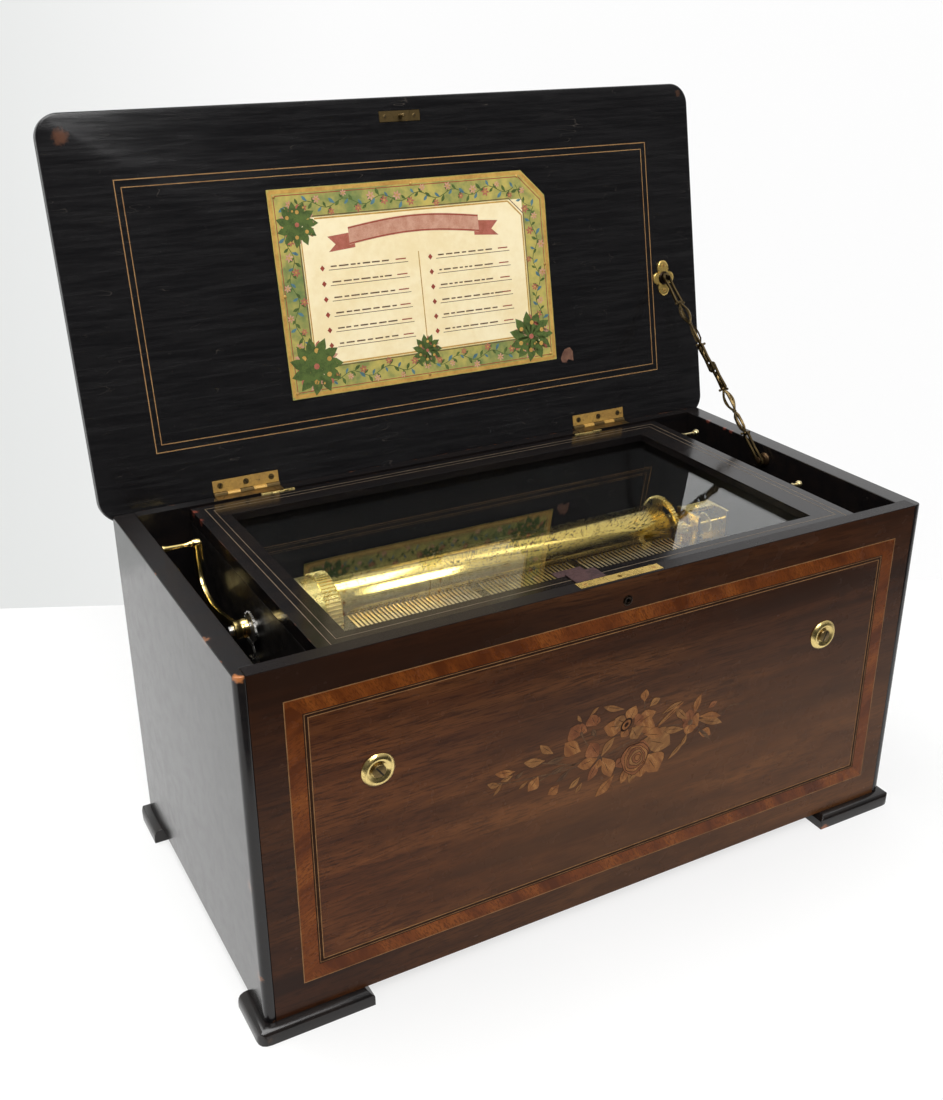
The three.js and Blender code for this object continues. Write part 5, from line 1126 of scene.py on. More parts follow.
def petal(base: Vector, tip: Vector, width: float, steps: int = 7) -> list[Vector]:
    """A leaf's outline in a plane's own axes.

    Args:
        base: Where it grows from.
        tip: Where it ends.
        width: Its greatest width.
        steps: Points on each side.

    Returns:
        The outline, once round.
    """
    along = tip - base
    side = Vector((-along.y, along.x)).normalized() * width / 2
    curl = side * 0.25
    edges = ([], [])
    for i in range(1, steps):
        t = i / steps
        swell = math.sin(math.pi * t ** PETAL_FULLNESS) ** 1.1
        middle = base + along * t + curl * math.sin(math.pi * t)
        edges[0].append(middle + side * swell)
        edges[1].append(middle - side * swell)
    return [base, *edges[0], tip, *edges[1][::-1]]


@dataclass
class CaseWork:
    """The boards, feet, veneers and inlay of the case, and the screws through it."""

    outer_band: Box = (-269, 274, 25, 261)
    band_width: float = 15.5
    petals: tuple[tuple[float, float, float, float, float, str], ...] = (
        (-106, 142, -117, 146, 4, "p"), (-104, 144, -112, 134, 2, "p"),
        (-93, 150, -111, 153, 5, "o"),
        (-95, 147, -106, 145, 3, "p"), (-67, 151, -86, 155, 6, "p"), (-82, 138, -90, 133, 2, "p"),
        (-86, 148, -94, 143, 3, "d"), (-73, 139, -82, 128, 8, "o"), (-54, 125, -64, 119, 7, "o"),
        (-60, 155, -72, 166, 5, "p"), (-49, 149, -66, 148, 5, "d"), (-49, 141, -63, 137, 4, "d"),
        (-44, 136, -57, 128, 4, "d"), (-35, 149, -50, 161, 11, "o"), (-35, 164, -45, 173, 12, "r"),
        (-35, 164, -35, 174, 8, "r"), (-35, 164, -31, 169, 6, "r"), (-22, 168, -27, 179, 9, "r"),
        (-22, 168, -19, 175, 5, "r"), (-28, 178, -20, 184, 2, "p"), (-35, 175, -39, 182, 2, "p"),
        (-21, 158, -25, 166, 4, "d"), (-18, 139, -27, 154, 11, "r"), (-19, 138, -38, 136, 8, "o"),
        (-18, 136, -28, 119, 6, "r"), (-17, 137, -20, 128, 5, "o"), (-16, 138, -4, 152, 5, "p"),
        (-15, 137, -6, 116, 10, "o"), (-3, 117, -20, 102, 7, "o"), (-35, 126, -45, 118, 4, "p"),
        (-33, 120, -39, 112, 3, "p"), (6, 160, -15, 164, 11, "o"), (7, 161, -4, 169, 10, "p"),
        (9, 161, 15, 175, 9, "o"), (15, 157, 35, 164, 9, "o"), (15, 156, 35, 149, 11, "o"),
        (14, 158, 23, 163, 9, "r"), (8, 157, 2, 150, 7, "o"), (12, 156, 18, 144, 11, "p"),
        (23, 176, 24, 187, 6, "o"), (28, 170, 38, 175, 5, "p"), (4, 175, -16, 183, 4, "p"),
        (40, 159, 60, 166, 3, "p"), (36, 148, 62, 165, 3, "o"), (37, 150, 54, 160, 2, "p"),
        (24, 141, 51, 128, 18, "p"), (27, 126, 40, 106, 16, "o"), (24, 146, 43, 140, 8, "o"),
        (67, 129, 49, 114, 3, "p"), (9, 122, 4, 106, 6, "o"), (16, 118, 12, 104, 6, "p"),
        (21, 121, 23, 106, 11, "o"), (7, 131, -2, 124, 9, "r"), (18, 131, 30, 134, 11, "r"),
        (73, 149, 79, 167, 5, "o"), (77, 143, 103, 133, 6, "p"), (78, 146, 101, 140, 5, "o"),
        (70, 142, 68, 156, 10, "r"), (67, 143, 78, 138, 13, "o"), (73, 142, 62, 143, 11, "r"),
        (70, 142, 66, 133, 8, "o"), (79, 131, 92, 125, 7, "o"), (67, 133, 62, 123, 3, "p"),
        (64, 139, 42, 145, 5, "p"), (67, 147, 54, 161, 5, "p"), (87, 151, 96, 155, 4, "r"),
        (77, 136, 92, 120, 3, "d"))
    stems: tuple[tuple[Pair, ...], ...] = (
        ((-117, 146), (-95, 141), (-67, 138), (-40, 136), (-20, 136), (-7, 139), (14, 144)),
        ((19, 147), (38, 148), (61, 144)), ((81, 145), (100, 142), (111, 147), (129, 143)),
        ((-76, 133), (-57, 138), (-34, 139)), ((-35, 164), (-27, 149), (-19, 139)),
        ((23, 176), (23, 164), (16, 158)), ((-82, 152), (-66, 148), (-40, 138)),
        ((62, 123), (68, 134), (70, 142)), ((-28, 178), (-24, 172), (-22, 168)))

    def build(self) -> None:
        """Makes every piece of the case."""
        self.boards()
        self.banding()
        self.marquetry()
        self.cups()
        self.escutcheon()
        self.lock()

    def boards(self) -> None:
        """The boards and feet, with rounded edges."""
        redone("front_board", FRONT_VENEER, 0.5)
        for side in SIDES:
            redone(f"{side}_side_board", CASE_BLACK, 0.9)
            redone(f"{side}_partition", INNER_BLACK, 0.4)
            for end in ENDS:
                redone(f"foot_{end}_{side}", FOOT_BLACK, 0.5, 44)
        redone("back_board", CASE_BLACK, 0.5)
        redone("bottom_board", RAW_WOOD)

    def banding(self) -> None:
        """The orange crossband between its lines, and the light line inside it."""
        work = Work("front_banding")
        u0, u1, v0, v1 = self.outer_band

        def inset(depth: float) -> Box:
            """The banding's rectangle, drawn in."""
            return (u0 + depth, u1 - depth, v0 + depth, v1 - depth)

        width = self.band_width
        FRONT_FACE.band(work, inset(0), 0.7, [STRING_TAN], 0.1)
        FRONT_FACE.band(work, inset(0.7), width - 3.6, CROSSBANDS, 0.12)
        for depth, thin, line in ((2.9, 0.9, STRING_DARK), (2.0, 0.5, STRING_TAN),
                                  (1.5, 2.0, STRING_DARK), (-0.5, 0.7, STRING_TAN)):
            FRONT_FACE.band(work, inset(width - depth), thin, [line], 0.1)
        work.finish("case")

    def marquetry(self) -> None:
        """The spray of flowers, petal by petal, with engraved veins."""
        work = Work("marquetry_spray")
        for stem in self.stems:
            line = spline([Vector((x, 0, z)) for x, z in stem], 6)
            self.strip(work, [Vector((p.x, p.z)) for p in line], 1.0, PETAL_TONES["d"], 0.07)
        for order, (x0, z0, x1, z1, width, tone) in enumerate(self.petals):
            base, tip = Vector((x0, z0)), Vector((x1, z1))
            top = 0.09 + 0.0012 * order
            width = width * (1.0 if tone == "d" else 1.28) + 0.4
            edge = petal(base, tip, width + 0.55)
            FRONT_FACE.sheet(work, edge, STRING_DARK, top - 0.012, 0.2)
            FRONT_FACE.sheet(work, petal(base, tip, width), PETAL_TONES[tone], top, 0.2)
            if width > 4:
                vein = petal(base.lerp(tip, 0.15), base.lerp(tip, 0.8), 0.5)
                FRONT_FACE.sheet(work, vein, STRING_DARK, top + 0.006, 0.1)
        self.rose(work, Vector((16.4, 126.2)))
        self.trumpet(work, Vector((6.6, 160.2)))
        for x, z, size in ((-17.8, 138, 2), (69.7, 143.2, 2.6), (-35, 165, 1.6)):
            dot = [(x + size * math.cos(a), z + size * math.sin(a)) for a in turns(10)]
            FRONT_FACE.sheet(work, dot, PETAL_TONES["d"], 0.19, 0.2)
        work.finish("case")

    @staticmethod
    def strip(work: Work, path: Points, width: float, finish: Finish,
              top: float) -> None:
        """A narrow line along a path on the front."""
        for a, b in zip(path, path[1:]):
            side = Vector((a.y - b.y, b.x - a.x)).normalized() * width / 2
            FRONT_FACE.sheet(work, [a + side, b + side, b - side, a - side], finish, top, 0.15)

    def rose(self, work: Work, centre: Vector) -> None:
        """Curled petals one inside another."""
        tones = ("r", "o", "r", "p", "r", "o")
        for ring, tone in enumerate(tones):
            radius = 14 - ring * 2.3
            top = 0.178 + ring * 0.008
            for grow, finish, lift in ((0.5, STRING_DARK, 0), (0, PETAL_TONES[tone], 0.004)):
                outline = []
                for a in turns(26):
                    wave = 1 + 0.07 * math.sin(3 * a + ring * 1.3) + 0.03 * math.sin(7 * a)
                    reach = (radius + grow) * wave
                    outline.append(centre + Vector((reach * 0.92 * math.cos(a) + ring * 0.5,
                                                    reach * math.sin(a))))
                FRONT_FACE.sheet(work, outline, finish, top + lift, 0.2)

    def trumpet(self, work: Work, centre: Vector) -> None:
        """The big flower's dark ringed mouth."""
        for scale, finish, top in ((1.0, STRING_DARK, 0.2), (0.72, PETAL_TONES["o"], 0.206),
                                   (0.34, STRING_DARK, 0.212)):
            outline = [centre + Vector((5.2 * scale * math.cos(a) + 2 * scale * math.sin(a),
                                        5.6 * scale * math.sin(a))) for a in turns(18)]
            FRONT_FACE.sheet(work, outline, finish, top, 0.2)

    def cups(self) -> None:
        """The dished brass cups and slotted screws, front and back."""
        profile = [(-0.3, 2.9), (-0.3, 12.6), (0, 13), (0.5, 13), (1.0, 12.6), (2.0, 11.6),
                   (2.7, 10.4), (2.9, 9.3), (2.6, 8.2), (1.8, 7.1), (1.35, 6.2), (1.3, 5.4),
                   (1.3, 2.9)]
        head = [(-30, 2.6), (1.1, 2.6), (1.1, 5.0), (2.6, 5.2), (3.1, 4.8), (3.35, 3.4), (3.4, 0)]
        for side_name, side in (("left", -1), ("right", 1)):
            for end, y, out, turn in (("front", 0, -BACK, 0.9 - 0.5 * side),
                                      ("back", CASE_DEPTH, BACK, 0.4 * side)):
                work = Work(f"cup_screw_{end}_{side_name}")
                place = Vector((side * SCREW_X, y, SCREW_Z))
                work.lathe(place, out, profile, BRASS, 64, closed=True)
                work.lathe(place, out, head, OLD_BRASS, 48)
                slot = Matrix.Rotation(turn, 3, out) @ out.orthogonal().normalized()
                work.slot(place + out * 3.3, slot, out.cross(slot), (4.5, 0.6), out * 0.16)
                work.finish("case", [f"case_screw_{end}_{side_name}"])

    def escutcheon(self) -> None:
        """The dark ring round the keyhole."""
        work = Work("keyhole_ring")
        place = Vector((2, 0, 268.8))
        profile = [(-2.4, 1.8), (-2.4, 3.9), (0.2, 4), (0.55, 3.6), (0.6, 2.9), (0.5, 2.2),
                   (0.1, 1.8)]
        work.lathe(place, -BACK, profile, BOSS_DARK, 32, closed=True)
        # The keyhole's bore lined with painted shade.
        work.lathe(place, -BACK, [(-2.4, 1.85), (-2.2, 1.85)], SLOT_SHADE, 24)
        work.finish("case", ["keyhole_escutcheon"])

    def lock(self) -> None:
        """The lock with its plate let into the rim, and the plate's screws."""
        redone("lock", PLATE_BRASS, 0.25)
        work = Work("lock_screws")
        for u in (-32, 29):
            work.screw(RIM_TOP.at(u, 6.9), UP, 2.0, AGED_BRASS, 0.5 * u, 0.12)
        work.finish("case")
        dress("lock_bolt", STEEL)


@dataclass
class LidWork:
    """The lid with its stringing, card, strike plate and hinges."""

    outer_line: Box = (-255.7, 255.7, 43.6, 262.9)
    inner_line: Box = (-250.5, 250.5, 50, 257)
    hinge_centres: Pair = (-183.3, 181)
    hinge_half: float = 29.8
    screw_pitch: float = 23
    screw_rise: float = 0.06
    corner_steps: int = 12

    def build(self) -> None:
        """Makes every piece of the lid."""
        self.panel()
        self.stringing()
        self.hinges()
        self.strike()
        self.scrap()

    def ring(self, inset: float, w: float) -> list[Vector]:
        """The lid's rounded outline.

        Args:
            inset: How far it is drawn in.
            w: Its height over the lid's inner face.

        Returns:
            The outline, once round.
        """
        half = LID_HALF - inset
        low, high = -LID_OVERHANG + inset, LID_REACH - inset
        radius = LID_CORNER - inset
        points = []
        corners = ((half - radius, low + radius, -90), (half - radius, high - radius, 0),
                   (-half + radius, high - radius, 90), (-half + radius, low + radius, 180))
        for u, v, start in corners:
            for i in range(self.corner_steps + 1):
                a = math.radians(start + 90 * i / self.corner_steps)
                spot = (u + radius * math.cos(a), v + radius * math.sin(a))
                points.append(LID_INSIDE.at(*spot, w))
        return points

    def panel(self) -> None:
        """The panel, rounded at its face and its top, with recesses for what is let into it."""
        profile = [(1.5, 0), (0.75, -0.2), (0.2, -0.75), (0, -1.5), (0, -5.6), (0.5, -6.1),
                   (0.5, -6.5), (0, -7.0), (0, -9.0)]
        profile += [(6 - 6 * math.cos(a), -9 - 6 * math.sin(a))
                    for a in (math.radians(15 * i) for i in range(1, 7))]
        work = Work("lid_panel")
        work.loft([self.ring(*pair) for pair in profile], LID_BLACK)
        cutters = []
        for centre in self.hinge_centres:
            start, end = centre - self.hinge_half, centre + self.hinge_half
            cutters.append(cutter((start, -3, -1.5), (end, 12.8, 2)))
            cutters.append(cutter((start, -2.5, -2.5), (end, 2.5, 3)))
        cutters.append(cutter((-21.3, 294.1, -1.7), (18.3, 303.7, 2)))
        work.finish("lid", ["lid"], angle=32, cutters=cutters)

    def stringing(self) -> None:
        """The two light lines round the lid's inner face."""
        work = Work("lid_stringing")
        LID_INSIDE.band(work, self.outer_line, 0.8, [STRING_LIGHT], 0.08)
        LID_INSIDE.band(work, self.inner_line, 0.7, [STRING_LIGHT], 0.08)
        work.finish("lid")

    def hinges(self) -> None:
        """The hinge leaves and the screws in them."""
        for side, centre in zip(SIDES, self.hinge_centres):
            redone(f"hinge_rim_leaf_{side}", OLD_BRASS, 0.18)
            redone(f"hinge_lid_leaf_{side}", AGED_BRASS, 0.18)
            on_lid = Work(f"hinge_lid_screws_{side}")
            on_rim = Work(f"hinge_rim_screws_{side}")
            for number in range(3):
                u = centre + (number - 1) * self.screw_pitch
                on_lid.screw(LID_INSIDE.at(u, 7.6, 0.02), LEAN_OUT, 2.6, OLD_BRASS,
                             number + 0.4, self.screw_rise)
                on_rim.screw(RIM_TOP.at(u, HINGE_Y - 7, 0.02), UP, 2.2, OLD_BRASS,
                             2 * number + 0.2, self.screw_rise)
            on_lid.finish("lid")
            on_rim.finish("case")

    def strike(self) -> None:
        """The strike plate with its peg and two screws."""
        redone("strike_plate", OLD_BRASS, 0.2)
        work = Work("strike_screws")
        for u in (-15.5, 12.5):
            work.screw(LID_INSIDE.at(u, 298.9, 0.05), LEAN_OUT, 1.9, OLD_BRASS, u, 0.2)
        work.finish("lid")

    def scrap(self) -> None:
        """The scrap of paper left beside the card."""
        work = Work("paper_scrap")
        outline = [(144, 66), (149, 65), (151, 68), (157, 66), (157, 75), (154, 79), (148, 78),
                   (145, 74), (143, 70)]
        LID_INSIDE.sheet(work, outline, TORN_PAPER, 0.12, 0.2)
        work.finish("lid")


CARD_STOCK = PaintFinish(
    "card_stock", "paper", (0.54, 0.43, 0.11), (0.15, 0.21, 0.07), 16.0, (0.6, 0.8), 900.0, 0.00006)
CARD_GOLD = PaintFinish(
    "card_gold", "paper", (0.58, 0.36, 0.09), (0.42, 0.22, 0.05), 60.0, (0.35, 0.5))
CARD_INKS = {
    name: PaintFinish(f"ink_{name}", "paper", colour, shade, scale)
    for name, colour, shade, scale in (
        ("cream", (0.93, 0.81, 0.53), (0.86, 0.71, 0.41), 22.0),
        ("rose", (0.46, 0.14, 0.10), (0.34, 0.10, 0.06), 120.0),
        ("pale_rose", (0.60, 0.34, 0.24), (0.48, 0.22, 0.14), 120.0),
        ("green", (0.10, 0.15, 0.035), (0.05, 0.08, 0.02), 120.0),
        ("blue", (0.10, 0.22, 0.26), (0.06, 0.13, 0.16), 120.0),
        ("brown", (0.10, 0.055, 0.03), (0.16, 0.09, 0.05), 120.0),
        ("red", (0.34, 0.06, 0.035), (0.26, 0.05, 0.03), 120.0))
}


@dataclass
class TuneCard:
    """The printed card inside the lid, with a flower border and ruled columns of its own."""

    low: Pair = (-132, 70)
    high: Pair = (138, 246)
    cut: float = 24
    base: float = 0.45
    lift: float = 1.5
    step: float = 9
    ribbon_ends: Pair = (-62, 66)
    ribbon_middle: float = 203
    ribbon_width: float = 15

    def build(self) -> None:
        """Makes the card and all that is printed on it."""
        self.luck = random.Random(SEED)
        self.work = Work("tune_card_printed")
        self.stock()
        self.borders()
        self.garland()
        self.ribbon()
        self.columns()
        self.bouquets()
        self.work.finish("lid", ["tune_card"])
        self.tacks()

    def rise(self, u: float, v: float) -> float:
        """How far the card stands off the lid: its left edge and one corner curl up."""
        left = max(0.0, (-96 - u) / 36) ** 2 * self.lift
        corner = max(0.0, (u - 96 + v - 232) / 40) ** 2 * 1.2
        return self.base + left + corner

    def at(self, u: float, v: float, top: float) -> Vector:
        """The place on the card, so far above its face."""
        return LID_INSIDE.at(u, v, self.rise(u, v) + top)

    def lay(self, outline: Sequence[Sequence[float]], ink: Finish, top: float) -> None:
        """Prints one flat shape.

        Args:
            outline: The shape, once round.
            ink: Its finish.
            top: How far it stands over the card.
        """
        low = [self.at(u, v, top - 0.3) for u, v in outline]
        high = [self.at(u, v, top) for u, v in outline]
        self.work.loft([low, high], ink)

    def line(self, path: Sequence[Sequence[float]], width: float, ink: Finish,
             top: float) -> None:
        """Prints a line in short steps, so that it follows the card.

        Args:
            path: The line's corners.
            width: Its width.
            ink: Its finish.
            top: How far it stands over the card.
        """
        spots = []
        for a, b in zip(path, path[1:]):
            a, b = Vector(a), Vector(b)
            count = max(1, int((b - a).length / self.step))
            spots += [a.lerp(b, i / count) for i in range(count)]
        spots.append(Vector(path[-1]))
        for a, b in zip(spots, spots[1:]):
            side = Vector((a.y - b.y, b.x - a.x)).normalized() * width / 2
            self.lay([a + side, b + side, b - side, a - side], ink, top)

    def edge(self, inset: float) -> list[Pair]:
        """The card's outline, drawn in by an inset."""
        u0, v0 = (value + inset for value in self.low)
        u1, v1 = (value - inset for value in self.high)
        cut = self.cut - 0.4 * inset
        return [(u0, v0), (u1, v0), (u1, v1 - cut), (u1 - cut, v1), (u0, v1)]

    def stock(self) -> None:
        """The card itself, as a curved skin with a thickness."""
        rows = []
        columns, lines = 46, 30
        for top in (0.0, -0.5):
            grid = []
            for j in range(lines + 1):
                v = self.low[1] + (self.high[1] - self.low[1]) * j / lines
                reach = self.high[0] - max(0.0, v - (self.high[1] - self.cut))
                grid.append([self.work.mesh.verts.new(
                    self.at(self.low[0] + (reach - self.low[0]) * i / columns, v, top))
                    for i in range(columns + 1)])
            rows.append(grid)
        face, back = rows
        for j in range(lines):
            for i in range(columns):
                self.work.face((face[j][i], face[j][i + 1], face[j + 1][i + 1], face[j + 1][i]),
                               CARD_STOCK)
                self.work.face((back[j][i], back[j + 1][i], back[j + 1][i + 1], back[j][i + 1]),
                               CARD_STOCK)
        ring = ([(0, i) for i in range(columns)] + [(j, columns) for j in range(lines)]
                + [(lines, i) for i in range(columns, 0, -1)]
                + [(j, 0) for j in range(lines, 0, -1)])
        for (a, b), (c, d) in zip(ring, ring[1:] + ring[:1]):
            self.work.face((face[a][b], back[a][b], back[c][d], face[c][d]), CARD_STOCK)

    def borders(self) -> None:
        """The gold edge, the line inside it and the cream field."""
        for inset, width, ink, top in ((2.2, 3.4, CARD_GOLD, 0.03),
                                       (5.4, 0.7, CARD_INKS["red"], 0.05),
                                       (24, 0.8, CARD_INKS["brown"], 0.07),
                                       (26.2, 1.4, CARD_GOLD, 0.06)):
            outline = self.edge(inset)
            self.line([*outline, outline[0]], width, ink, top)
        u0, v0, u1, v1 = (self.low[0] + 25, self.low[1] + 25, self.high[0] - 25,
                          self.high[1] - 25)
        count = 12
        for i in range(count):
            a, b = (u0 + (u1 - u0) * k / count for k in (i, i + 1))
            self.lay([(a, v0), (b, v0), (b, v1), (a, v1)], CARD_INKS["cream"], 0.035)

    def leaf(self, base: Sequence[float], angle: float, length: float, ink: Finish,
             top: float = 0.08) -> None:
        """Prints one leaf or petal.

        Args:
            base: Where it grows from.
            angle: The way that it grows.
            length: Its length.
            ink: Its finish.
            top: How far it stands over the card.
        """
        base = Vector(base)
        tip = base + Vector((math.cos(angle), math.sin(angle))) * length
        self.lay(petal(base, tip, length * 0.42, steps=4), ink, top)

    def flower(self, place: Sequence[float], size: float, petals: Finish,
               heart: Finish) -> None:
        """Prints a small open flower.

        Args:
            place: Its middle.
            size: Its petals' length.
            petals: The petals' finish.
            heart: The middle's finish.
        """
        turn = self.luck.uniform(0, 1)
        for k in range(6):
            self.leaf(place, turn + k * math.tau / 6, size, petals, 0.10 + 0.004 * k)
        eye = [(place[0] + size * 0.25 * math.cos(a), place[1] + size * 0.25 * math.sin(a))
               for a in turns(7)]
        self.lay(eye, heart, 0.14)

    def garland(self) -> None:
        """A running garland of leaves and flowers round the border."""
        inset = 14.5
        corners = [Vector(spot) for spot in self.edge(inset)]
        corners.append(corners[0])
        inks = CARD_INKS
        for a, b in zip(corners, corners[1:]):
            length = (b - a).length
            along = (b - a) / length
            side = Vector((-along.y, along.x))
            count = max(2, int(length / 4.2))
            wave = [a + along * (length * i / count) + side * 3.2 * math.sin(i * 0.75)
                    for i in range(count + 1)]
            self.line(wave, 0.6, inks["green"], 0.07)
            heading = math.atan2(along.y, along.x)
            for i, spot in enumerate(wave[:-1]):
                swing = 0.9 if i % 2 else -0.9
                self.leaf(spot, heading + swing + self.luck.uniform(-0.3, 0.3),
                          self.luck.uniform(5, 7.5), inks["green"] if i % 3 else inks["blue"])
                if i % 3 == 1:
                    bloom = spot + side * (4.4 if i % 2 else -4.4)
                    self.flower(bloom, self.luck.uniform(3.0, 4.4),
                                inks["rose"] if i % 2 else inks["pale_rose"], CARD_GOLD)

    def ribbon(self) -> None:
        """A plain waved ribbon across the head of the card, with folded ends."""
        middle, half = self.ribbon_middle, self.ribbon_width / 2
        start, end = self.ribbon_ends
        steps = 16
        spots = [(start + (end - start) * i / steps,
                  middle + 5.5 * math.sin(math.pi * i / steps)) for i in range(steps + 1)]
        for (a, v_a), (b, v_b) in zip(spots, spots[1:]):
            self.lay([(a, v_a - half), (b, v_b - half), (b, v_b + half), (a, v_a + half)],
                     CARD_INKS["pale_rose"], 0.11)
        for shift in (-1, 1):
            edge = [(u, v + shift * (half - 1)) for u, v in spots]
            self.line(edge, 1.1, CARD_INKS["red"], 0.13)
        for fold, way in ((start, -1), (end, 1)):
            tail = [(fold + way * u, middle + v)
                    for u, v in ((-5, -10), (20, -12), (13, -6), (20, 1), (-5, 3))]
            self.lay(tail, CARD_INKS["rose"], 0.09)

    def columns(self) -> None:
        """Two columns of ruled lines, each row led by a small diamond."""
        for start in (-92.0, 12.0):
            for row in range(6):
                v = 178 - row * 13.2
                diamond = [(start, v), (start + 2.2, v - 2.6), (start + 4.4, v),
                           (start + 2.2, v + 2.6)]
                self.lay(diamond, CARD_INKS["red"], 0.08)
                self.line([(start + 8, v - 2), (start + 84, v - 2)], 0.55,
                          CARD_INKS["brown"], 0.07)
                u = start + 10
                while u < start + 66:
                    long = self.luck.uniform(2.5, 9)
                    self.line([(u, v + 0.9), (u + long, v + 0.9)], 1.2,
                              CARD_INKS["brown"], 0.075)
                    u += long + self.luck.uniform(1.4, 2.6)
                self.line([(start + 72, v + 1), (start + 82, v + 1)], 1.0,
                          CARD_INKS["red"], 0.075)
        self.line([(3, 184), (3, 108)], 0.9, CARD_GOLD, 0.08)

    def bouquets(self) -> None:
        """A bunch of flowers in each lower corner and one under the ribbon."""
        inks = CARD_INKS
        for u, v, size in ((-106, 96, 1.7), (112, 95, 1.6), (2, 96, 1.0), (-108, 216, 1.3)):
            for k in range(11):
                self.leaf((u, v), k * math.tau / 11, 15 * size, inks["green"], 0.12)
            for k in range(6):
                a = k * math.tau / 6 + 0.4
                spot = (u + 8 * size * math.cos(a), v + 8 * size * math.sin(a))
                self.flower(spot, 5.4 * size, inks["rose"] if k % 2 else inks["pale_rose"],
                            CARD_GOLD)
            self.flower((u, v), 6.4 * size, inks["cream"], inks["rose"])

    def tacks(self) -> None:
        """The small round tacks that hold the card."""
        work = Work("card_tacks")
        for u, v in ((-126, 240), (2, 242), (110, 241), (133, 160), (132, 76), (2, 74), (-127, 75),
                     (-127, 158)):
            place = self.at(u, v, 0.1)
            work.lathe(place, LEAN_OUT, [(-1.4, 0.4), (-0.1, 0.5), (0, 1.5), (0.35, 1.2),
                                         (0.55, 0.5), (0.58, 0)], AGED_BRASS, 14)
        work.finish("lid")


@dataclass
class GlassLidWork:
    """The glazed inner lid, its stringing, hinges and pull."""

    outer: Box = (-228, 229.5, 14, 285)
    inner: Box = (-222, 223.5, 20.5, 279.3)

    def build(self) -> None:
        """Makes every piece of the inner lid."""
        redone("glass_lid_frame", FRAME_BLACK, 0.9)
        dress("glass_pane", PANE)
        work = Work("glass_frame_stringing")
        FRAME_TOP.band(work, self.outer, 0.6, [STRING_FINE], 0.07)
        FRAME_TOP.band(work, self.inner, 0.5, [STRING_FINE], 0.07)
        work.finish("glass_lid")
        for side in SIDES:
            for leaf in ("frame", "wall"):
                redone(f"glass_hinge_{leaf}_leaf_{side}", BRASS, 0.12)
        redone("pull_tab", TAB_LEATHER, 0.3, 30)


@dataclass
class LidStay:
    """The chain that holds the lid, with the plate and the rosette at its ends."""

    plate: Pair = (268.4, 133)
    wall: Place = (282, 175, 274)
    ends: tuple[Place, Place] = ((275.5, 175, 274), (268.4, 323.829, 419.359))

    def build(self) -> None:
        """Makes the plate, the rosette and both halves of the chain."""
        self.lobed_plate()
        self.rosette()
        for half in ("lower", "upper"):
            redone(f"chain_{half}", CHAIN_BRASS, 0.15, 50)
            self.bar(half)

    def bar(self, half: str) -> None:
        """A half's twisted bar, the two lens-shaped cages beside it and the knots between."""
        low, high = (Vector(spot) for spot in self.ends)
        start, way, shift = (low, high - low, 1.3) if half == "lower" else (high, low - high, -1.3)
        long = way.length / 2
        way.normalize()
        side = way.cross(RIGHT).normalized()
        work = Work(f"chain_{half}_twists")
        steps = 22
        for phase in (0.0, math.pi):
            path, radii = [], []
            for i in range(steps + 1):
                t = i / steps
                swell = math.sin(math.pi * t)
                turn = phase + 5.2 * t
                path.append(start + way * (long * (0.775 + 0.17 * t)) + RIGHT * shift
                            + (RIGHT * math.cos(turn) + side * math.sin(turn)) * (1.1 * swell))
                radii.append(0.7 + 0.75 * swell)
            work.tube(path, radii, CHAIN_BRASS, 8)
        for first, leaning in ((0.29, RIGHT * 0.9 + side * 0.45),
                               (0.521, RIGHT * 0.6 - side * 0.8)):
            for hand in (-1, 1):
                path = [start + way * (long * (first + 0.231 * i / 14))
                        + leaning * (hand * 4.0 * math.sin(math.pi * i / 14)) for i in range(15)]
                work.tube(path, [1.15] * len(path), CHAIN_BRASS, 8)
        for share in (0.285, 0.521, 0.757):
            work.ball(start + way * (long * share), 2.0, CHAIN_BRASS)
        work.finish(f"chain_{half}")

    def lobed_plate(self) -> None:
        """The plate with four lobes, and the boss and head on it."""
        u, v = self.plate
        outline = []
        for a in turns(72):
            lobe = abs(math.cos(2 * a)) ** 0.6
            reach = 7.4 + 4.6 * lobe
            if abs(math.sin(a)) > 0.7:
                reach += 5.0 * lobe * (abs(math.sin(a)) - 0.7) / 0.3
            outline.append(Vector((u + reach * math.cos(a), v + reach * math.sin(a))))
        work = Work("lid_chain_plate_lobed")
        rings = []
        for scale, w in ((1.0, 0.05), (1.0, 1.3), (0.96, 1.7), (0.88, 1.8)):
            rings.append([LID_INSIDE.at(u + (p.x - u) * scale, v + (p.y - v) * scale, w)
                          for p in outline])
        work.loft(rings, PLATE_BRASS)
        place = LID_INSIDE.at(u, v, 1.8)
        work.lathe(place, LEAN_OUT, [(-0.5, 6.4), (0.8, 6.4), (1.6, 5.6), (1.8, 4.2), (1.8, 1.5),
                                     (6.8, 1.5), (6.8, 2.2), (7.3, 2.6), (8.0, 2.4), (8.4, 1.2),
                                     (8.45, 0)], BOSS_DARK, 30)
        for side in (-1, 1):
            work.screw(LID_INSIDE.at(u, v + side * 12, 1.7), LEAN_OUT, 1.9, AGED_BRASS,
                       0.7 * side, 0.3)
        work.finish("lid", ["lid_chain_plate"])

    def rosette(self) -> None:
        """The turned rosette on the case's right wall."""
        work = Work("chain_rosette")
        work.lathe(Vector(self.wall), -RIGHT,
                   [(-1.5, 6.3), (0.6, 6.5), (1.2, 6.3), (1.7, 5.6), (2.0, 4.9), (2.5, 4.3),
                    (2.5, 1.4), (7.3, 1.4), (7.3, 2.4), (7.7, 3.0), (8.3, 2.9), (8.6, 1.6),
                    (8.7, 0)], DARK_BRONZE, 36)
        work.finish("case", ["chain_wall_plate"])


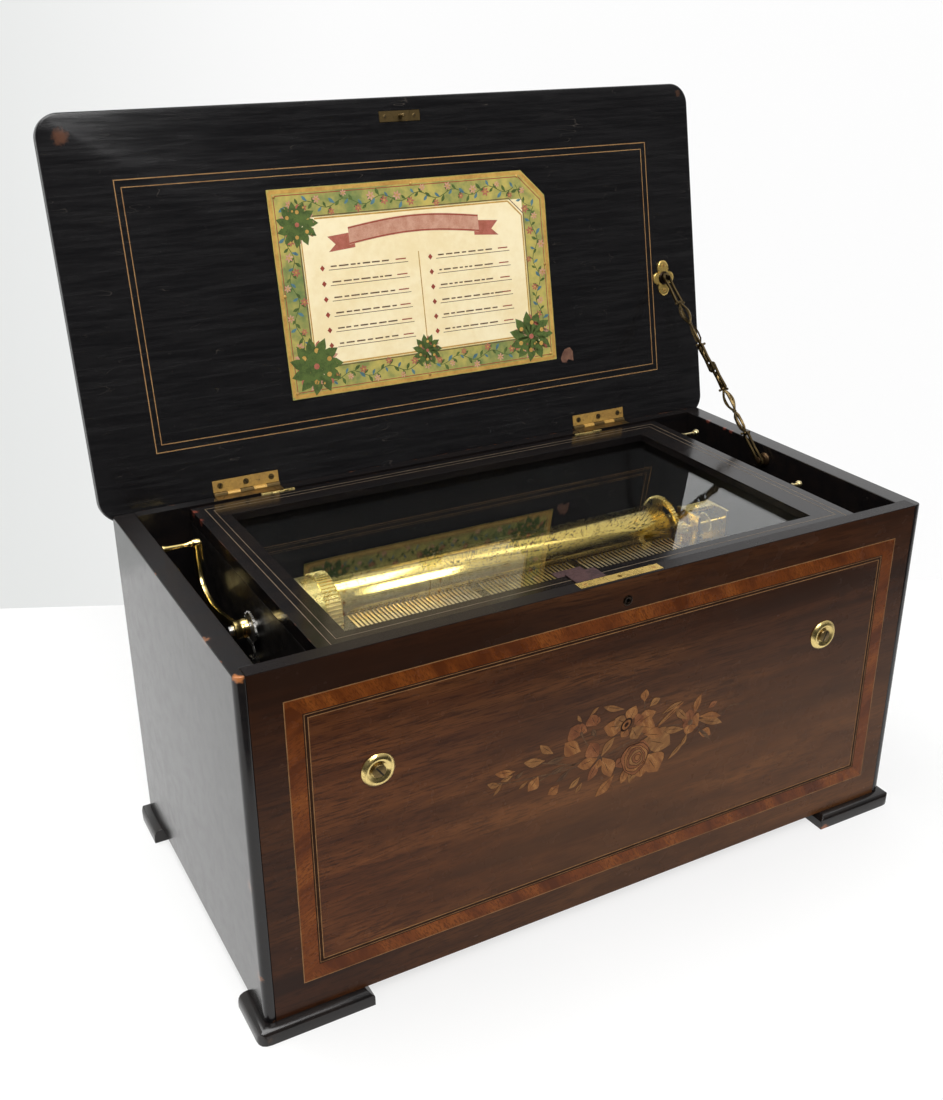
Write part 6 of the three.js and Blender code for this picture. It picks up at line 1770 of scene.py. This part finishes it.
@dataclass
class Movement:
    """The musical movement on its iron bedplate, from the cylinder to the governor."""

    cylinder_span: Pair = (-177, 131.5)
    radius: float = 21.7
    pin_height: float = 0.85
    pins: int = 5200
    pin_half: float = 0.34
    pin_pitch: float = 1.05
    crowd: Pair = (-82, 20)
    crowd_share: float = 0.6
    combs: tuple[tuple[str, Pair, float, float], ...] = (
        ("bass_comb", (-177.3, -66.8), 3.45, 1.9), ("treble_comb", (28.0, 130.1), 3.9, 2.0),
        ("organ_keys", (-63.1, 25.6), 3.6, 1.9))
    comb_back: float = 51.55
    tips: float = 115.55
    top: float = 247.4
    comb_thick: float = 2.2

    def build(self) -> None:
        """Makes every piece of the movement."""
        redone("bedplate", BED_IRON, 0.5)
        self.pinned_cylinder()
        for node, span, pitch, width in self.combs:
            self.comb(node, span, pitch, width, KEY_BRASS if "keys" in node else COMB_STEEL)
        self.comb_screws()
        for node, finish, bevel, angle in (
                ("comb_base", PALE_BRASS, 0.4, 38), ("cylinder_arbor", STEEL, 0.15, 38),
                ("great_wheel", BRASS, 0.12, 30), ("spring_barrel", BRASS, 0.15, 30),
                ("barrel_cap", PALE_BRASS, 0.2, 30), ("barrel_bridge", BRIDGE_BRASS, 0.4, 38),
                ("end_bridge", BRASS, 0.4, 38), ("governor_wheel", PALE_BRASS, 0.1, 30),
                ("governor_fan", STEEL, 0.1, 30), ("governor_frame", BRASS, 0.4, 38)):
            redone(node, finish, bevel, angle)
        dress("mainspring", STEEL)
        self.bridge_screws()
        redone("reed_chest", RAW_WOOD, 0.5)
        redone("bellows", BELLOWS_LEATHER, 0.8, 30)

    def pinned_cylinder(self) -> None:
        """The brass cylinder with its fine steel pins, thick in its middle."""
        work = Work("cylinder_pinned")
        start, end = self.cylinder_span
        axis = Vector((start, AXIS_Y, AXIS_Z))
        long = end - start
        work.lathe(axis, RIGHT, [(0, 8), (0, self.radius - 0.6), (0.6, self.radius),
                                 (long - 0.6, self.radius), (long, self.radius - 0.6), (long, 8)],
                   CYLINDER_BRASS, 120, closed=True)
        luck = random.Random(SEED + 1)
        half, pitch, row = self.pin_half, self.pin_pitch, 0.35
        for number in range(self.pins):
            middle = luck.random() < self.crowd_share
            x = luck.uniform(*self.crowd) if middle else luck.uniform(start + 5, end - 5)
            x = round(x / pitch) * pitch
            turn = luck.uniform(0, math.tau)
            if middle and number % 3:
                slant = 0.004 * (x - self.crowd[0])
                turn = round(turn / row) * row + slant + luck.uniform(-0.03, 0.03)
            out = Vector((0, math.cos(turn), math.sin(turn)))
            side = Vector((0, -math.sin(turn), math.cos(turn)))
            foot = Vector((x, AXIS_Y, AXIS_Z)) + out * (self.radius - 0.2)
            ring = [foot + RIGHT * half, foot + side * half, foot - RIGHT * half,
                    foot - side * half]
            work.loft([ring, [spot + out * (self.pin_height + 0.2) for spot in ring]], PIN_SHADE_AND_DIRT)
        work.finish("cylinder", ["cylinder"], angle=50)

    def comb(self, node: str, span: Pair, pitch: float, width: float, finish: Finish) -> None:
        """A comb cut from one plate, its teeth drawn finer towards their tips.

        Args:
            node: The CAD node that it stands for.
            span: Where it starts and ends.
            pitch: From one tooth to the next.
            width: A tooth's width at its root.
            finish: The comb's finish.
        """
        work = Work(f"{node}_cut")
        low = self.top - self.comb_thick
        work.block((span[0], self.comb_back, low), (span[1], self.comb_back + 36, self.top), finish)
        count = int((span[1] - span[0] - 1.2) / pitch)
        first = span[0] + (span[1] - span[0] - (count - 1) * pitch) / 2
        for i in range(count):
            x = first + i * pitch
            rings, faces = [], []
            for y, half, drop in ((self.comb_back + 35.5, width / 2, 0), (101, width / 2, 0.1),
                                  (109, width * 0.42, 0.5), (self.tips, width * 0.28, 0.35)):
                high = self.top - drop
                rings.append(section(x, half, y, low + 0.5, high))
                faces.append(section(x, half * 0.96, y, high, high + 0.05))
            # The sides in painted shade, the tops in the comb's finish.
            work.loft(rings, TOOTH_SIDE_SHADE)
            work.loft(faces, finish)
        work.finish("case", [node], angle=30)

    def comb_screws(self) -> None:
        """The row of screws with washers along the backs of the combs."""
        work = Work("comb_screws")
        for low, high in (span for _, span, _, _ in self.combs):
            count = max(2, round((high - low) / 19))
            for i in range(count):
                u = low + (high - low) * (i + 0.5) / count
                place = COMB_TOP.at(u, self.comb_back + 7.5)
                work.lathe(place, UP, [(-0.2, 4.4), (0.35, 4.4), (0.6, 4.0), (0.6, 0)],
                           PALE_BRASS, 24)
                work.lathe(place, UP, [(0, 3.2), (1.7, 3.2), (2.4, 2.5), (2.6, 1.2), (2.6, 0)],
                           SCREW_STEEL, 24)
                turn = 0.9 * i
                across = Vector((math.cos(turn), math.sin(turn), 0))
                work.slot(place + UP * 2.58, across, UP.cross(across), (2.4, 0.35), UP * 0.08)
        work.finish("case")

    def bridge_screws(self) -> None:
        """The screws that hold the bridges, the comb base and the bedplate."""
        work = Work("movement_screws")
        for x in (-189, -110, -18, 74, 152):
            place = Vector((x, 40, BEDPLATE_TOP))
            work.screw(place, UP, 3.4, SCREW_STEEL, 0.01 * x, 1.6)
        for x in (-215, 214):
            for y in (60, 226):
                work.screw(Vector((x, y, BEDPLATE_TOP)), UP, 4.2, BRASS, 0.3 * y, 2.0)
        work.finish("case")


@dataclass
class Levers:
    """The winding lever in the left well with its ratchet, and the right well's two levers."""

    hub: Place = (-251, AXIS_Y, AXIS_Z)
    reach: Pair = (99.5, 31.7)
    course: tuple[Pair, ...] = (
        (0, 0), (0.15, -0.14), (0.313, -0.24), (0.525, -0.338), (0.713, -0.352), (0.881, -0.183),
        (0.96, 0.085), (0.995, 0.437), (1, 0.775), (1, 1))
    width: Pair = (9.4, 6.8)
    thickness: float = 4.8
    collar_x: float = -257
    grip_x: float = -254.5
    grip_length: float = 24
    spike_x: float = -246.8
    spike_levels: Place = (278, 268, 260)

    def build(self) -> None:
        """Makes every piece of the levers."""
        self.lever()
        self.grip()
        for node in ("winding_arbor", "ratchet_click"):
            redone(node, STEEL, 0.2, 30)
        for node in ("change_lever", "stop_lever"):
            redone(node, PALE_BRASS, 0.25, 34)

    def end(self, x: float) -> Vector:
        """The end of the lever's reach, at a place across."""
        return Vector((x, self.hub[1] + self.reach[0], self.hub[2] + self.reach[1]))

    def lever(self) -> None:
        """The curved arm, wide at its hub and thin at the grip, with its collar and spike."""
        work = Work("winding_lever_forged")
        x, y0, z0 = self.hub
        path = spline([Vector((x, y0 + self.reach[0] * a, z0 + self.reach[1] * b))
                       for a, b in self.course], 7)
        rings = []
        for i, spot in enumerate(path):
            before, after = path[max(i - 1, 0)], path[min(i + 1, len(path) - 1)]
            forward = (after - before).normalized()
            side = forward.cross(RIGHT).normalized()
            share = i / (len(path) - 1)
            half = (self.width[0] * (1 - share) + self.width[1] * share) / 2
            thin = self.thickness / 2
            ring = []
            for a in turns(12):
                c, s = math.cos(a), math.sin(a)
                squash_c = math.copysign(abs(c) ** 0.6, c)
                squash_s = math.copysign(abs(s) ** 0.6, s)
                ring.append(spot + RIGHT * (thin * squash_c) + side * (half * squash_s))
            rings.append(ring)
        work.loft(rings, LEVER_BRASS)
        work.lathe(Vector((self.collar_x, y0, z0)), RIGHT,
                   [(0, 3.9), (0, 6.6), (0.8, 7.5), (4.2, 7.5), (4.8, 7.1), (7.2, 7.1), (7.8, 7.5),
                    (11.2, 7.5), (12, 6.6), (12, 3.9)], LEVER_BRASS, 48, closed=True)
        work.lathe(self.end(self.grip_x), RIGHT,
                   [(0, 0), (0, 2.9), (0.5, 3.3), (6.5, 3.3), (7, 2.8), (7, 0)], LEVER_BRASS, 32)
        spike = [Vector((self.spike_x, y0 + self.reach[0], z)) for z in self.spike_levels]
        work.tube(spike, [0.9, 0.85, 0.35], LEVER_BRASS, 12)
        work.finish("winding_lever", ["winding_lever"], angle=40)

    def grip(self) -> None:
        """The turned grip, thin behind its collar and flared at its end."""
        work = Work("winding_grip_turned")
        radii = [2.6, 2.6, 2.1, 1.7, 1.72, 1.8, 1.9, 2.15, 2.5, 3.0, 3.1, 2.9, 2.2, 0]
        shares = [0, 0.05, 0.09, 0.15, 0.3, 0.45, 0.6, 0.75, 0.86, 0.93, 0.955, 0.98, 1.0, 1.0]
        profile = [(self.grip_length * share, radius) for share, radius in zip(shares, radii)]
        work.lathe(self.end(self.grip_x), -RIGHT, profile, LEVER_BRASS, 32)
        work.finish("winding_lever", ["winding_grip"])


@dataclass
class Studio:
    """The pale floor and backdrop, the lamps and the camera."""

    floor: Box = (-1.6, 2.2, -0.52, 1.3)
    foot: tuple[Pair, Pair] = ((-2.16, 1.484), (2.54, -0.729))
    height: float = 2.2
    place: Place = (-0.49584, -0.85863, 0.69608)
    right: Place = (0.87745584, -0.4796388, -0.00422779)
    down: Place = (-0.20001217, -0.35786447, -0.91210096)
    lens: float = 41.04
    lamps: tuple[tuple[str, Place, Place, float, float], ...] = (
        ("key_lamp", (-0.7, 0.3, 2.2), (0, 0, 0.15), 1.2, 30),
        ("fill_lamp", (-0.3, -1.9, 2.7), (0, 0, 0.2), 1.4, 58))

    def build(self) -> None:
        """Sets up all that the object stands in."""
        self.ground()
        self.backdrop()
        self.surroundings()
        for setting in self.lamps:
            self.lamp(*setting)
        self.camera()

    def shade(self, name: str, colour: Colour, left: Colour, white: float, one_sided: bool
              ) -> bpy.types.Material:
        """A pale painted surface that the camera, gloss and glass see nearly white.

        Args:
            name: The material's name.
            colour: Its colour.
            left: The tone that the camera sees at the far left, which on the backdrop is painted
                shade.
            white: How much of what they see is plain white; the rest keeps its shadows.
            one_sided: Whether its back lets light and sight through.

        Returns:
            The material.
        """
        made = bpy.data.materials.new(name)
        graph = emptied(made)
        shader = graph.add("BsdfPrincipled", {"Roughness": 0.75, "Specular IOR Level": 0.2})
        film = Effect.MOTTLE.place(graph, graph.object_place(), scale=1.5)
        darker = tuple(value * 0.975 for value in colour)
        graph.feed(shader, "Base Color", graph.mix(film, colour, darker))
        path = graph.add("LightPath")
        seen = graph.math("MAXIMUM", path.outputs["Is Glossy Ray"],
                          path.outputs["Is Transmission Ray"])
        seen = graph.math("MAXIMUM", seen, path.outputs["Is Camera Ray"])
        across = graph.add("SeparateXYZ", {0: graph.object_place()}).outputs[0]
        # Towards the left the tone darkens, which on the backdrop is painted shade.
        tone = graph.mix(graph.smooth(across, -0.40, 0.10), left, (0.99, 0.99, 0.99))
        plain = graph.add("Emission", {"Color": tone, "Strength": 1.0})
        share = graph.times(seen, white)
        surface = graph.add("MixShader", {0: share, 1: shader, 2: plain})
        if one_sided:
            side = graph.add("NewGeometry").outputs["Backfacing"]
            surface = graph.add("MixShader", {0: side, 1: surface,
                                              2: graph.add("BsdfTransparent")})
        graph.add("OutputMaterial", {"Surface": surface})
        return made

    def slab(self, name: str, corners: Sequence[Place], material: bpy.types.Material) -> None:
        """Makes one flat piece of the stage, whose heights count from where the feet stand."""
        level = frame_floor()
        data = bpy.data.meshes.new(name)
        data.from_pydata([(x, y, level + z) for x, y, z in corners], [], [range(len(corners))])
        data.materials.append(material)
        made = shown(name, data)

    def ground(self) -> None:
        """The floor, under the feet and no further than the studio goes."""
        x0, x1, y0, y1 = self.floor
        floor = self.shade("pale_floor", (0.92, 0.918, 0.91), (0.99, 0.99, 0.985), 0.70, False)
        self.slab("studio_floor", ((x0, y0, 0), (x1, y0, 0), (x1, y1, 0), (x0, y1, 0)), floor)

    def backdrop(self) -> None:
        """The wall close behind the object, which can be seen only from its front."""
        left, right = self.foot
        # The backdrop's darker left is painted shade.
        wall = self.shade("pale_backdrop", (0.86, 0.865, 0.865), (0.77, 0.785, 0.775), 0.94, True)
        corners = ((*left, 0), (*right, 0), (*right, self.height), (*left, self.height))
        self.slab("studio_backdrop", corners, wall)

    def surroundings(self) -> None:
        """White to the camera, and to gloss and glass a white studio that is dim in front."""
        world = bpy.data.worlds.new("studio_world")
        bpy.context.scene.world = world
        graph = emptied(world)
        parts = graph.add("SeparateXYZ", {0: graph.add("TexCoord").outputs["Generated"]})
        back = graph.smooth(parts.outputs[1], -0.35, 0.25, 0.06, 1.0)
        aloft = graph.math("MULTIPLY_ADD", parts.outputs[0], 0.4, parts.outputs[2])
        above = graph.smooth(aloft, 0.45, 1.0, 0.0, 0.6)
        aside = graph.math("ABSOLUTE", graph.math("ADD", parts.outputs[1], 0.05))
        strip = graph.times(graph.smooth(aside, 0.26, 0.06),
                            graph.smooth(parts.outputs[2], 0.5, 0.7))
        rightward = graph.smooth(parts.outputs[0], 0.22, 0.5, 0.7, 2.0)
        strip = graph.times(strip, rightward)
        strength = graph.math("ADD", graph.math("MAXIMUM", back, above), strip)
        gloss = graph.add("Background", {"Color": (1, 1, 1, 1), "Strength": strength})
        plain = graph.add("Background", {"Color": (1, 1, 1, 1), "Strength": 1.0})
        soft = graph.add("Background", {"Color": (1, 0.99, 0.98, 1), "Strength": 0.5})
        path = graph.add("LightPath")
        shiny = graph.math("MAXIMUM", path.outputs["Is Glossy Ray"],
                           path.outputs["Is Transmission Ray"])
        inner = graph.add("MixShader", {0: shiny, 1: soft, 2: gloss})
        outer = graph.add("MixShader", {0: path.outputs["Is Camera Ray"], 1: inner, 2: plain})
        graph.add("OutputWorld", {"Surface": outer})

    def lamp(self, name: str, place: Place, target: Place, size: float, power: float) -> None:
        """Sets up a square soft lamp.

        Args:
            name: The lamp's name.
            place: Where it hangs.
            target: Where it looks.
            size: The length of its side.
            power: Its power in watts.
        """
        data = bpy.data.lights.new(name, "AREA")
        data.shape = "SQUARE"
        data.size = size
        data.energy = power
        made = shown(name, data)
        made.location = place
        made.rotation_euler = (Vector(target) - Vector(place)).to_track_quat("-Z", "Y").to_euler()

    def camera(self) -> None:
        """The camera that the photograph was taken from."""
        data = bpy.data.cameras.new("photo_camera")
        data.lens = self.lens
        data.sensor_fit = "VERTICAL"
        data.sensor_height = 36
        data.clip_start = 0.01
        made = shown("photo_camera", data)
        right, up = Vector(self.right), -Vector(self.down)
        turn = Matrix((right, up, right.cross(up))).transposed()
        made.matrix_world = Matrix.Translation(self.place) @ turn.to_4x4()
        bpy.context.scene.camera = made


def frame_floor() -> float:
    """The height that the feet stand on."""
    return min(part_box(f"foot_{end}_{side}")[0].z for end in ENDS for side in SIDES)


def main() -> None:
    """Builds the object and its studio."""
    logging.basicConfig(level=logging.INFO, format="%(message)s")
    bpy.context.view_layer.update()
    for part in (CaseWork(), LidWork(), TuneCard(), GlassLidWork(), LidStay(), Movement(),
                 Levers(), Studio()):
        log.info("making %s", type(part).__name__)
        part.build()
    bpy.context.scene.view_settings.view_transform = "Standard"


if __name__ == "__main__":
    main()
